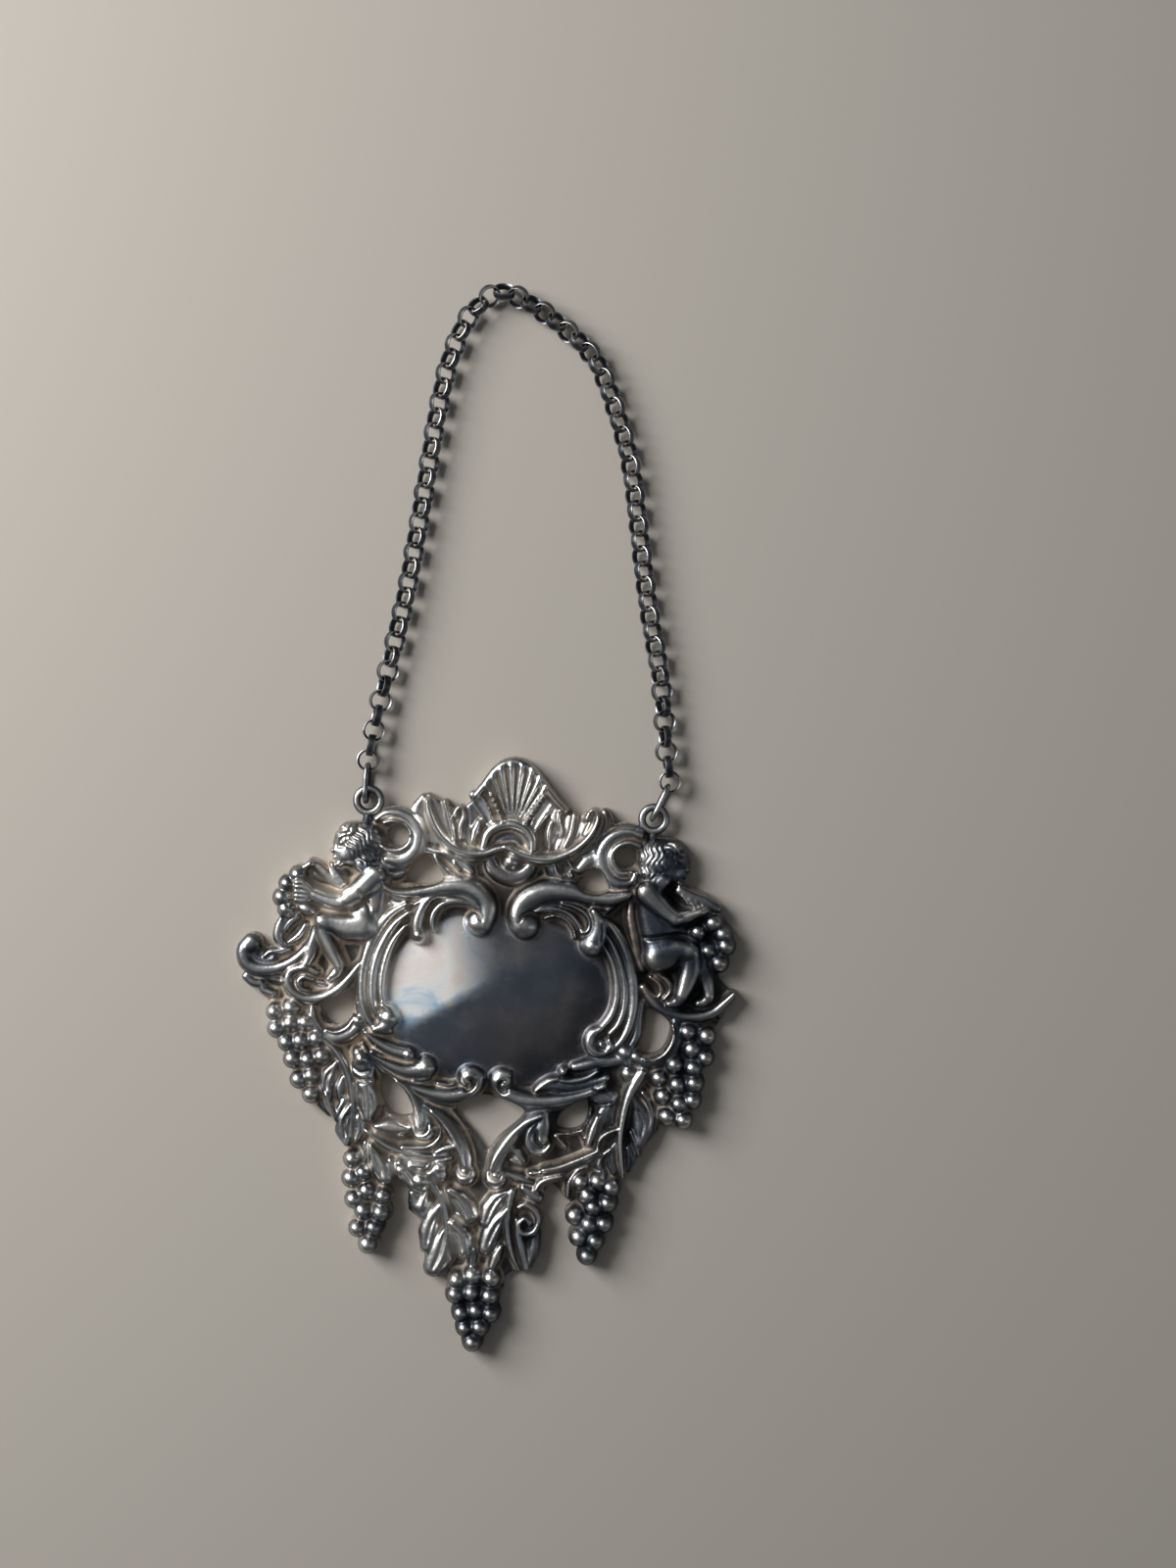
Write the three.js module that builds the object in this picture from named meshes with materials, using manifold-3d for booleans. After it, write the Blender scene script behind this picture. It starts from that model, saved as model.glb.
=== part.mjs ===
// Decanter label: a cast silver-plated openwork plate that hangs from a belcher chain by two jump rings.
// It lies face up as on a table. Millimetres, +Z out of the face, +Y up the plate toward the chain.
// The origin is on the flat back, under the middle of the name panel.
import * as THREE from 'three';
import { mergeVertices } from 'three/addons/utils/BufferGeometryUtils.js';
import Module from 'manifold-3d';

// Plate
const GROUND_THICKNESS = 1.1; // flat ground that carries the relief
const PANEL_CENTRE = [-0.3, -1.2];
const PANEL_HALF_WIDTH = 15.6;
const PANEL_HALF_HEIGHT = 11.6;
const PANEL_CROWN = 1.1; // rise of the domed panel over the ground
const GRAPE_RADIUS = 1.15;
const BERRY_LIFT = 0.5; // centre of a grape over the ground
const HEAD_RADIUS = 2.9;
const HEAD_LIFT = 0.9;
const SHELL_ORIGIN = [0.2, 19.2];
const SHELL_INNER_RADIUS = 3.0;
const SHELL_OUTER_RADIUS = 9.6;
const SHELL_HALF_ANGLE = 34; // degrees each side of upright
const SHELL_FLUTES = 7;

// Suspension eyes, round wire rings at the top corners of the plate
const EYE_LEFT = [-18.5, 23.6];
const EYE_RIGHT = [18.6, 23.6];
const EYE_RADIUS = 1.55; // to the middle of its wire
const EYE_WIRE_RADIUS = 0.5;
const EYE_HEIGHT = 1.6; // middle of the eye over the table
const EYE_NECK_RADIUS = 0.8;
const EYE_NECK_LENGTH = 2.0;
const SEAT_ANGLE_LEFT = 105; // where a jump ring crosses its eye, degrees from +X
const SEAT_ANGLE_RIGHT = 77;

// Oval jump rings, standing on edge
const RING_WIRE_RADIUS = 0.37;
const RING_BORE_RADIUS = 1.0; // inside radius of its round ends
const RING_STRAIGHT = 2.0; // length of its straight sides
const RING_DROP = 0.25; // slack between an eye and its ring
const RING_PLAY = 0.17; // gap between a ring and its first link
const RING_LEAN_LEFT = 0; // degrees clockwise from +Y, seen from above
const RING_LEAN_RIGHT = 22;

// Chain of flat-banded round links, each turned a quarter from the last
const LINK_COUNT = 70;
const LINK_BORE_RADIUS = 1.15;
const LINK_WALL = 0.3;
const LINK_INNER_WIDTH = 0.64; // the band is narrower inside, so that the next link can turn
const LINK_OUTER_WIDTH = 1.0;
const LINK_PLAY = 0.33; // free travel between two links
const LINK_TURN = 45; // degrees that a link lies from flat, to one side and the other
const SETTLING_LINKS = 9; // links at each end over which the chain turns out of flat
const TABLE_GAP = 0.02; // between the lowest link and the table
const CROWN_LINK_COUNT = 14; // the links at the top of the loop, which hold together as one piece
const CROWN_BEAD_RADIUS = 0.3;

// Facets
const LINK_SEGMENTS = 10;
const WIRE_SIDES = 6;
const RING_SEGMENTS = 18;
const ARCH_FACETS = 2; // facets over the top of a ridge
const EYE_WIRE_SIDES = 8;
const EYE_SEGMENTS = 20;
const RIDGE_STEPS = 1; // lengths of facets between two points of a ridge
const BOSS_STEPS = 2;
const GRAPE_SEGMENTS = 6;
const HEAD_SEGMENTS = 10;
const PANEL_SEGMENTS = 20;
const OUTLINE_STEPS = 1; // facets between two points of the outline
const OPENING_STEPS = 2;
const POINTING = 0.6; // how far a ridge's end is drawn out, in half widths
const TRIM_DEPTH = 1; // how far the relief reaches past the back before the back is cut flat
const TRIM_WIDTH = 200; // of the block that cuts the back flat, wider than the plate
const TRIM_HEIGHT = 20;

// Workings
const SAME_POINT = 1e-4; // corners closer than this are one corner
const STRETCH_LIMITS = [0.3, 3]; // least and most that the chain's route may be stretched
const STRETCH_TRIALS = 40; // halvings of those limits
const ROUTE_DIVISIONS = 1000; // for the length of the route

const SILVER = { color: 0x9a9a98, metalness: 1.0, roughness: 0.34 };
const OXIDISED_SILVER = { color: 0x55565a, metalness: 1.0, roughness: 0.42 };

// The route of the chain from its first link to its last, heights before the loop takes its length
const ROUTE = [
  [-18.2, 34.5], [-16.6, 43.6], [-15.3, 51.7], [-14.4, 59.7], [-13.6, 67.6], [-12.8, 75.4],
  [-11.6, 82.2], [-9.4, 87.8], [-5.8, 90.9], [-2.2, 89.8], [2.6, 86.9], [7.0, 83.0], [10.0, 77.0],
  [12.4, 70.2], [13.8, 63.4], [15.0, 56.8], [16.4, 49.8], [18.0, 43.2], [19.0, 37.4], [19.6, 32.6],
];

// The plate's outline, clockwise from the top of the crest
const OUTLINE = [
  [0.1, 30.3], [2.2, 29.7], [4.2, 27.7], [5.8, 25.9], [7.2, 24.2], [9.6, 24.3], [11.4, 24.9],
  [12.7, 23.8], [13.3, 21.9], [14.9, 22.6], [16.6, 22.6], [18.6, 21.7], [21.2, 21.5], [23.3, 20.3],
  [24.3, 18.3], [23.8, 15.6], [26.4, 14.2], [28.6, 12.8], [30.0, 10.8], [30.4, 8.2], [29.9, 5.6],
  [29.2, 3.5], [30.9, 1.9], [29.8, 0.1], [29.3, -2.6], [28.8, -6.4], [27.7, -9.8], [27.0, -13.6],
  [25.5, -16.3], [23.2, -16.4], [20.9, -18.8], [18.2, -23.0], [17.6, -26.0], [17.0, -30.0],
  [15.6, -33.2], [13.7, -34.9], [12.0, -33.4], [11.0, -30.0], [10.3, -27.4], [8.4, -25.2],
  [8.0, -28.6], [7.3, -33.2], [5.6, -36.7], [4.1, -37.0], [3.4, -41.0], [1.6, -44.6], [-0.4, -46.8],
  [-2.2, -45.2], [-3.3, -42.2], [-4.4, -39.6], [-4.9, -37.2], [-6.6, -37.4], [-7.1, -34.8],
  [-7.7, -31.6], [-9.3, -29.6], [-9.8, -27.0], [-11.6, -25.4], [-12.0, -28.4], [-12.7, -32.0],
  [-14.8, -35.1], [-16.6, -33.4], [-17.6, -30.4], [-18.3, -27.0], [-18.7, -23.4], [-19.4, -19.6],
  [-21.4, -17.2], [-23.6, -16.2], [-25.9, -14.2], [-27.2, -10.6], [-28.7, -7.8], [-30.2, -4.6],
  [-31.6, -1.8], [-33.2, 0.4], [-34.0, 3.2], [-32.4, 4.9], [-29.5, 4.3], [-29.2, 7.2],
  [-30.0, 10.0], [-28.9, 12.7], [-26.8, 14.8], [-23.4, 15.9], [-22.8, 18.6], [-21.6, 20.8],
  [-18.6, 21.7], [-16.2, 22.9], [-13.4, 23.2], [-12.4, 23.4], [-11.2, 25.7], [-8.9, 24.8],
  [-7.0, 23.9], [-4.2, 26.1], [-2.4, 29.0],
];

// Openings right through the plate
const OPENINGS = [
  [[-14.4, 20.8], [-13.1, 19.4], [-14.4, 17.9], [-15.8, 19.4]],
  [[-10.9, 17.1], [-8.1, 14.3], [-10.9, 13.1], [-13.2, 13.8]],
  [[-23.2, -3.4], [-21.0, -2.0], [-18.8, -0.8], [-18.9, -4.0], [-21.0, -5.9]],
  [[-14.2, -11.6], [-11.4, -13.6], [-10.2, -16.6], [-12.8, -16.8], [-14.5, -14.4]],
  [[-4.6, -15.4], [-0.8, -13.6], [4.2, -15.3], [1.2, -19.0], [-0.3, -20.6], [-2.2, -18.4]],
  [[15.3, 19.8], [16.7, 18.4], [15.3, 17.0], [13.9, 18.4]],
  [[11.6, 16.6], [9.4, 14.6], [11.2, 13.6], [13.2, 14.2]],
  [[19.6, -1.0], [22.4, -2.8], [21.6, -6.2], [18.9, -6.9], [19.2, -3.4]],
  [[9.2, -15.2], [12.2, -13.2], [12.4, -15.8], [11.2, -17.2], [8.8, -17.3]],
];

// Scrolls, stems and ribs: the points of each ridge and its half width from end to end
const FRAME_SCROLLS = [
  {
    points: [[-14.6, 11.0], [-10.5, 12.2], [-6.2, 12.8], [-2.6, 12.2], [-1.5, 9.8], [-2.4, 8.2]],
    width: [0.6, 1.5],
  },
  { points: [[-5.6, 11.2], [-8.4, 10.8], [-10.3, 9.2], [-10.9, 6.8]], width: [0.6, 1.1] },
  {
    points: [[-12.8, 9.8], [-15.6, 6.4], [-17.1, 2.4], [-17.3, -1.2], [-16.4, -4.4], [-14.2, -5.2]],
    width: [0.6, 1.1],
  },
  { points: [[-13.4, 8.4], [-15.0, 4.8], [-15.4, 0.6], [-15.0, -2.4]], width: [0.5, 0.6] },
  { points: [[-16.8, -6.9], [-14.2, -8.2], [-11.4, -8.9]], width: [0.9, 0.9] },
  { points: [[-14.8, -9.8], [-11.8, -11.2], [-9.4, -10.8]], width: [0.7, 1.2] },
  { points: [[-13.0, -12.0], [-9.5, -13.5], [-6.0, -14.0], [-3.2, -12.9], [-3.0, -11.2]], width: [0.6, 1.2] },
  {
    points: [[13.8, 12.8], [9.5, 13.2], [5.5, 13.4], [2.2, 12.4], [1.2, 10.0], [2.6, 8.6]],
    width: [0.6, 1.6],
  },
  { points: [[5.4, 11.6], [8.2, 11.3], [10.2, 10.0], [11.4, 7.0]], width: [0.6, 1.3] },
  {
    points: [[12.8, 9.8], [15.6, 6.4], [16.8, 2.4], [16.6, -1.2], [15.4, -4.2], [13.4, -5.6]],
    width: [0.6, 1.1],
  },
  { points: [[13.2, 7.6], [14.8, 4.4], [15.0, 0.6], [14.2, -2.4]], width: [0.5, 0.6] },
  { points: [[16.4, -7.4], [12.6, -8.6], [9.1, -9.8]], width: [0.8, 0.8] },
  { points: [[13.4, -10.4], [9.6, -11.4], [6.6, -12.0]], width: [0.8, 0.8] },
  { points: [[12.6, -12.0], [9.0, -13.6], [5.0, -14.0], [1.6, -12.8], [1.0, -11.0]], width: [0.6, 1.2] },
];
const LOWER_SCROLLS = [
  { points: [[-7.6, -15.2], [-5.0, -17.4], [-3.1, -20.2], [-2.8, -23.4]], width: [0.8, 1.3] },
  { points: [[6.8, -15.6], [3.6, -17.6], [1.5, -20.4], [1.2, -23.4]], width: [0.8, 1.2] },
  { points: [[-11.0, -12.8], [-9.6, -15.0], [-8.8, -18.2]], width: [0.6, 1.2] },
  { points: [[5.6, -16.2], [5.6, -17.4], [6.4, -18.6]], width: [0.7, 1.1] },
  { points: [[-14.8, -18.0], [-12.0, -18.4], [-10.0, -18.3]], width: [0.6, 0.8] },
  { points: [[-15.6, -19.8], [-12.4, -21.0], [-8.6, -21.2], [-5.0, -20.4]], width: [0.6, 0.6] },
  { points: [[14.2, -19.6], [11.0, -21.2], [7.2, -22.6]], width: [0.6, 0.6] },
  { points: [[14.4, -14.8], [13.8, -17.0], [13.0, -18.6]], width: [0.9, 0.6] },
  { points: [[-18.6, -4.6], [-19.4, -6.3], [-21.4, -7.0], [-23.2, -5.9], [-23.9, -4.0]], width: [0.7, 0.6] },
  { points: [[23.2, -2.8], [23.0, -5.2], [21.4, -7.3], [19.0, -7.8], [17.6, -6.6]], width: [0.6, 0.7] },
];
const STEMS = [
  { points: [[-21.4, -7.8], [-19.4, -10.2], [-18.0, -13.8], [-17.6, -19.6]], width: [0.5, 0.5] },
  { points: [[19.0, -9.8], [17.4, -12.4], [16.9, -16.4], [17.3, -22.6]], width: [0.5, 0.4] },
  { points: [[-6.6, -25.0], [-4.8, -28.0], [-4.3, -31.6], [-5.4, -36.0]], width: [0.6, 0.4] },
  { points: [[3.3, -25.8], [2.9, -29.4], [3.6, -33.0], [5.2, -36.0]], width: [0.5, 0.4] },
  { points: [[-15.0, -21.0], [-13.8, -23.0], [-12.9, -24.6]], width: [0.9, 0.7] },
  { points: [[12.6, -21.4], [11.2, -23.6], [10.6, -26.0]], width: [0.7, 0.5] },
];
const LEAVES = [
  { points: [[-16.6, -12.6], [-15.6, -15.0], [-15.4, -17.4]], width: [0.8, 0.8] },
  { points: [[-20.6, -11.2], [-20.4, -14.0], [-19.2, -17.4]], width: [0.8, 0.9] },
  { points: [[20.4, -12.0], [19.9, -14.6], [18.8, -18.0]], width: [0.7, 0.9] },
  { points: [[15.6, -16.4], [14.4, -18.4], [15.2, -21.4]], width: [0.5, 0.8] },
  { points: [[-8.8, -26.6], [-8.4, -29.0], [-8.0, -30.0]], width: [1.0, 0.7] },
  { points: [[-6.6, -28.6], [-7.0, -32.0], [-6.6, -34.8]], width: [0.7, 0.9] },
  { points: [[-3.4, -26.6], [-2.0, -29.0], [-1.6, -31.0]], width: [0.8, 1.0] },
  { points: [[1.6, -26.6], [0.8, -29.6], [0.6, -32.8]], width: [0.7, 1.0] },
  { points: [[5.4, -26.6], [5.9, -30.0], [6.0, -34.4]], width: [1.1, 1.0] },
  { points: [[-10.4, -23.6], [-8.6, -24.8], [-6.4, -23.6]], width: [1.2, 0.8] },
  { points: [[5.0, -20.6], [4.6, -22.4], [6.2, -24.2]], width: [1.2, 0.8] },
];
const CREST_RIBS = [
  {
    points: [[-12.2, 24.4], [-11.0, 21.4], [-8.8, 18.8], [-5.4, 17.4], [-2.4, 17.6], [0, 18.2]],
    width: [0.5, 0.7],
  },
  {
    points: [[12.0, 23.8], [10.6, 20.8], [8.0, 18.6], [5.2, 17.4], [2.4, 17.4], [0, 18.2]],
    width: [0.5, 0.7],
  },
  { points: [[-8.6, 20.2], [-9.6, 22.6], [-10.6, 24.4]], width: [0.5, 0.6] },
  { points: [[-6.6, 19.0], [-6.6, 21.2], [-7.0, 23.2]], width: [0.5, 0.6] },
  { points: [[-4.8, 18.8], [-4.4, 21.4], [-5.4, 24.0]], width: [0.5, 0.7] },
  { points: [[8.0, 20.0], [9.0, 22.2], [10.2, 23.6]], width: [0.5, 0.6] },
  { points: [[6.2, 19.0], [6.4, 21.2], [7.2, 23.2]], width: [0.5, 0.6] },
  { points: [[4.4, 18.8], [4.4, 21.4], [5.4, 24.0]], width: [0.5, 0.7] },
  { points: [[-3.0, 18.8], [-1.9, 20.9], [0.2, 21.7], [2.3, 20.9], [3.4, 18.8]], width: [0.7, 0.7] },
  { points: [[-0.1, 17.0], [-0.1, 15.4]], width: [1.5, 0.8] },
  { points: [[-8.6, 17.0], [-6.2, 15.6], [-3.0, 16.2]], width: [0.7, 0.8] },
  { points: [[8.6, 17.0], [6.4, 15.8], [3.4, 16.2]], width: [0.7, 0.8] },
  { points: [[-12.6, 21.4], [-11.9, 18.8], [-13.2, 16.4], [-16.2, 15.6]], width: [0.7, 0.8] },
  { points: [[-16.8, 21.6], [-14.6, 22.2], [-12.8, 21.4]], width: [0.8, 0.7] },
  {
    points: [[17.2, 21.4], [14.8, 21.2], [12.8, 19.6], [12.7, 17.2], [14.6, 15.6], [16.6, 15.2]],
    width: [0.8, 0.8],
  },
];
const FIGURES = [
  { points: [[-17.8, 13.6], [-17.3, 10.4], [-18.4, 7.4]], width: [1.9, 1.8], lift: 0.4 },
  { points: [[-18.0, 13.6], [-20.6, 10.5], [-23.4, 10.6], [-25.6, 10.9]], width: [1.2, 1.1], lift: 0.9 },
  { points: [[-18.6, 7.2], [-21.2, 7.2], [-23.8, 7.6]], width: [1.7, 1.2], lift: 0.5 },
  { points: [[-23.7, 7.3], [-22.4, 4.6], [-20.9, 2.2]], width: [1.1, 0.8], lift: 0.7 },
  { points: [[-20.8, 2.0], [-22.2, 0.9]], width: [0.8, 0.7], lift: 0.4 },
  { points: [[-24.6, 5.2], [-25.3, 2.8], [-27.2, 1.0]], width: [0.9, 0.7], lift: 0.2 },
  { points: [[18.2, 13.0], [18.8, 9.8], [19.4, 7.0]], width: [1.8, 1.9], lift: 0.4 },
  { points: [[18.8, 13.2], [22.0, 10.9], [25.2, 11.6]], width: [1.3, 1.0], lift: 0.9 },
  { points: [[19.8, 6.4], [22.4, 6.7], [24.0, 6.0]], width: [1.9, 1.3], lift: 0.5 },
  { points: [[24.1, 5.8], [24.1, 3.0], [23.4, 0.4]], width: [1.2, 0.9], lift: 0.5 },
  { points: [[23.6, 0.2], [25.8, -0.2]], width: [0.8, 0.7], lift: 0.3 },
  { points: [[-19.8, 1.4], [-21.8, -0.4], [-24.8, -1.4], [-26.6, -0.2]], width: [0.8, 0.8] },
  { points: [[-25.8, 1.4], [-28.8, 1.2], [-31.4, 1.6], [-32.4, 3.4]], width: [0.7, 1.2] },
  { points: [[-27.4, -0.8], [-30.2, -0.8], [-31.8, -0.6]], width: [0.8, 0.6] },
  { points: [[-26.0, 8.0], [-28.0, 6.2], [-28.2, 4.6]], width: [0.9, 0.8] },
  { points: [[-24.6, 15.0], [-25.6, 13.4]], width: [0.8, 0.7] },
  { points: [[19.4, 1.2], [21.6, -0.9], [25.0, -1.6], [28.2, -0.4], [30.2, 1.6]], width: [0.7, 0.5] },
  { points: [[26.2, 4.0], [27.0, 2.2], [27.4, 0.6]], width: [1.0, 0.8] },
  { points: [[24.8, 13.6], [27.2, 12.4]], width: [0.8, 0.9] },
];
const HEADS = [[-19.8, 18.0], [20.8, 18.2]];

const GRAPES = [
  [-28.8, -4.5], [-26.7, -3.8], [-28.4, -6.6], [-26.6, -5.8], [-24.7, -5.6], [-27.0, -8.3], [-25.2, -8.0],
  [-23.2, -7.6], [-26.1, -10.4], [-24.1, -10.4], [-22.3, -9.8], [-25.1, -13.0], [-23.5, -12.4],
  [-23.4, -14.8],
  [-17.5, -22.8], [-17.5, -25.3], [-16.0, -24.5], [-17.0, -28.0], [-15.4, -26.8], [-15.7, -29.4],
  [-13.3, -27.4], [-13.4, -29.5], [-16.3, -31.7], [-14.2, -31.5], [-14.8, -33.7],
  [24.7, -3.6], [27.2, -4.0], [25.4, -5.8], [27.2, -6.8], [23.3, -7.9], [25.7, -8.2], [21.4, -9.8],
  [23.8, -10.5], [26.0, -10.2], [22.1, -12.1], [24.2, -13.0], [25.9, -12.4], [22.8, -14.7], [24.9, -15.0],
  [12.2, -23.9], [14.4, -23.7], [16.1, -24.4], [13.2, -25.6], [15.8, -26.4], [11.7, -28.3], [14.0, -27.0],
  [13.6, -29.3], [15.5, -29.1], [12.4, -31.0], [14.5, -31.4], [13.6, -33.4],
  [-3.0, -37.6], [-1.0, -36.9], [1.4, -37.1], [-3.1, -39.4], [-1.0, -39.1], [1.3, -39.4], [-2.2, -41.8],
  [-0.3, -41.4], [1.6, -41.7], [-1.6, -43.7], [0.3, -43.5], [-0.5, -45.5],
  [-28.2, 12.2], [-28.8, 10.4], [-28.2, 8.9], [-26.9, 13.4],
  [24.6, 9.2], [26.1, 9.2], [27.2, 10.7], [28.0, 9.1], [26.9, 7.2], [28.7, 7.6], [28.2, 5.6],
];

const wasm = await Module();
wasm.setup();

function solid(geometry) {
  const bare = geometry.clone();
  bare.deleteAttribute('normal');
  bare.deleteAttribute('uv');
  const merged = mergeVertices(bare, SAME_POINT);
  return new wasm.Manifold(new wasm.Mesh({
    numProp: 3,
    vertProperties: new Float32Array(merged.attributes.position.array),
    triVerts: new Uint32Array(merged.index.array),
  }));
}

function geometryOf(manifold) {
  const mesh = manifold.getMesh();
  const geometry = new THREE.BufferGeometry();
  geometry.setAttribute('position', new THREE.BufferAttribute(mesh.vertProperties, 3));
  geometry.setIndex(new THREE.BufferAttribute(mesh.triVerts, 1));
  geometry.computeVertexNormals();
  return geometry;
}

function joined(solids) {
  return solids.reduce((sum, one) => sum.add(one));
}

function closedCurve(points) {
  return new THREE.CatmullRomCurve3(points.map(([x, y]) => new THREE.Vector3(x, y, 0)), true);
}

function slab(points, steps, bottom, top) {
  const corners = closedCurve(points).getPoints(points.length * steps).slice(1);
  const shape = new THREE.Shape(corners.map((p) => new THREE.Vector2(p.x, p.y)));
  const body = new THREE.ExtrudeGeometry(shape, { depth: top - bottom, bevelEnabled: false });
  return solid(body.translate(0, 0, bottom));
}

function ground() {
  const openings = OPENINGS.map((opening) => slab(opening, OPENING_STEPS, -1, GROUND_THICKNESS + 1));
  return slab(OUTLINE, OUTLINE_STEPS, 0, GROUND_THICKNESS).subtract(joined(openings));
}

// A ridge of the relief: a bar with a round top that tapers along its curve and is pointed at both ends.
// Its sides go straight down past the back, where the plate is trimmed flat.
function ridge({ points, width, lift = 0 }) {
  const height = GROUND_THICKNESS + lift;
  const curve = new THREE.CatmullRomCurve3(points.map(([x, y]) => new THREE.Vector3(x, y, height)));
  const steps = (points.length - 1) * RIDGE_STEPS;
  const up = new THREE.Vector3(0, 0, 1);
  const corners = [];
  for (let i = 0; i <= steps; i++) {
    const centre = curve.getPoint(i / steps);
    const side = curve.getTangent(i / steps).cross(up);
    const radius = THREE.MathUtils.lerp(width[0], width[1], i / steps);
    for (let j = 0; j <= ARCH_FACETS; j++) {
      const angle = (Math.PI * j) / ARCH_FACETS;
      corners.push(centre.clone()
        .addScaledVector(side, radius * Math.cos(angle))
        .addScaledVector(up, radius * Math.sin(angle)));
    }
    corners.push(centre.clone().addScaledVector(side, -radius).setZ(-TRIM_DEPTH));
    corners.push(centre.clone().addScaledVector(side, radius).setZ(-TRIM_DEPTH));
  }
  corners.push(curve.getPoint(0).addScaledVector(curve.getTangent(0), -POINTING * width[0]));
  corners.push(curve.getPoint(1).addScaledVector(curve.getTangent(1), POINTING * width[1]));
  const sides = ARCH_FACETS + 3;
  const top = steps * sides;
  const start = top + sides;
  const faces = [];
  for (let j = 0; j < sides; j++) {
    const next = (j + 1) % sides;
    faces.push(start, j, next, start + 1, top + next, top + j);
    for (let a = 0; a < top; a += sides) {
      const b = a + sides;
      faces.push(a + j, b + j, b + next, a + j, b + next, a + next);
    }
  }
  const geometry = new THREE.BufferGeometry().setFromPoints(corners);
  geometry.setIndex(faces);
  return solid(geometry);
}

// A round boss of the relief: half a ball on a straight wall that goes down past the back.
function boss([x, y], radius, height, segments) {
  const profile = [new THREE.Vector2(0, -TRIM_DEPTH), new THREE.Vector2(radius, -TRIM_DEPTH)];
  for (let i = 0; i <= BOSS_STEPS; i++) {
    const angle = (Math.PI / 2) * (i / BOSS_STEPS);
    profile.push(new THREE.Vector2(radius * Math.cos(angle), height + radius * Math.sin(angle)));
  }
  profile[profile.length - 1].x = 0;
  return solid(new THREE.LatheGeometry(profile, segments).rotateX(Math.PI / 2).translate(x, y, 0));
}

function panel() {
  const dome = new THREE.SphereGeometry(1, PANEL_SEGMENTS, PANEL_SEGMENTS / 2);
  dome.rotateX(Math.PI / 2);
  dome.scale(PANEL_HALF_WIDTH, PANEL_HALF_HEIGHT, PANEL_CROWN + GROUND_THICKNESS / 2);
  dome.translate(PANEL_CENTRE[0], PANEL_CENTRE[1], GROUND_THICKNESS / 2);
  return solid(dome);
}

function shell() {
  const flutes = [];
  for (let i = 0; i < SHELL_FLUTES; i++) {
    const angle = THREE.MathUtils.degToRad(SHELL_HALF_ANGLE * ((2 * i) / (SHELL_FLUTES - 1) - 1));
    const at = (radius) => [
      SHELL_ORIGIN[0] + radius * Math.sin(angle),
      SHELL_ORIGIN[1] + radius * Math.cos(angle),
    ];
    flutes.push(ridge({ points: [at(SHELL_INNER_RADIUS), at(SHELL_OUTER_RADIUS)], width: [0.35, 0.8] }));
  }
  return flutes;
}

function eye([x, y]) {
  const wire = new THREE.TorusGeometry(EYE_RADIUS, EYE_WIRE_RADIUS, EYE_WIRE_SIDES, EYE_SEGMENTS);
  wire.translate(x, y, EYE_HEIGHT);
  const foot = y - EYE_RADIUS;
  const neck = ridge({
    points: [[x, foot], [x, foot - EYE_NECK_LENGTH]],
    width: [EYE_WIRE_RADIUS, EYE_NECK_RADIUS],
    lift: EYE_HEIGHT - GROUND_THICKNESS - EYE_WIRE_RADIUS / 2,
  });
  return [solid(wire), neck];
}

function plate() {
  const ridges = [FRAME_SCROLLS, LOWER_SCROLLS, STEMS, LEAVES, CREST_RIBS, FIGURES].flat();
  const grapeHeight = GROUND_THICKNESS + BERRY_LIFT;
  const headHeight = GROUND_THICKNESS + HEAD_LIFT;
  const relief = [
    panel(),
    ...ridges.map(ridge),
    ...shell(),
    ...GRAPES.map((at) => boss(at, GRAPE_RADIUS, grapeHeight, GRAPE_SEGMENTS)),
    ...HEADS.map((at) => boss(at, HEAD_RADIUS, headHeight, HEAD_SEGMENTS)),
    ...eye(EYE_LEFT),
    ...eye(EYE_RIGHT),
  ];
  const below = new THREE.BoxGeometry(TRIM_WIDTH, TRIM_WIDTH, TRIM_HEIGHT).translate(0, 0, -TRIM_HEIGHT / 2);
  return geometryOf(joined([ground(), ...relief]).subtract(solid(below)));
}

// The oval that the middle of a jump ring's wire follows, long way up
class Oval extends THREE.Curve {
  getPoint(t) {
    const radius = RING_BORE_RADIUS + RING_WIRE_RADIUS;
    const angle = 2 * Math.PI * t;
    const end = Math.sign(Math.sin(angle)) * (RING_STRAIGHT / 2);
    return new THREE.Vector3(0, radius * Math.sin(angle) + end, radius * Math.cos(angle));
  }
}

// Where a jump ring and the link that hangs on it lie, from the eye that the ring goes through
function suspension(eyeCentre, seatAngle, lean) {
  const seat = THREE.MathUtils.degToRad(seatAngle);
  const turn = THREE.MathUtils.degToRad(lean);
  const along = new THREE.Vector3(Math.sin(turn), Math.cos(turn), 0);
  const ringHeight = RING_BORE_RADIUS + 2 * RING_WIRE_RADIUS;
  const wire = new THREE.Vector3(...eyeCentre, ringHeight);
  wire.add(new THREE.Vector3(Math.cos(seat), Math.sin(seat), 0).multiplyScalar(EYE_RADIUS));
  const middle = wire.clone().addScaledVector(along, RING_STRAIGHT / 2 - RING_DROP);
  const reach = RING_STRAIGHT / 2 + RING_BORE_RADIUS - RING_PLAY + LINK_BORE_RADIUS;
  return { middle, turn, link: middle.clone().addScaledVector(along, reach) };
}

function named(name, geometry, look) {
  const mesh = new THREE.Mesh(geometry, new THREE.MeshStandardMaterial(look));
  mesh.name = name;
  return mesh;
}

function jumpRing(name, place) {
  const geometry = new THREE.TubeGeometry(new Oval(), RING_SEGMENTS, RING_WIRE_RADIUS, WIRE_SIDES, true);
  const ring = named(name, geometry, OXIDISED_SILVER);
  ring.position.copy(place.middle);
  ring.rotation.z = -place.turn;
  return ring;
}

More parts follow.
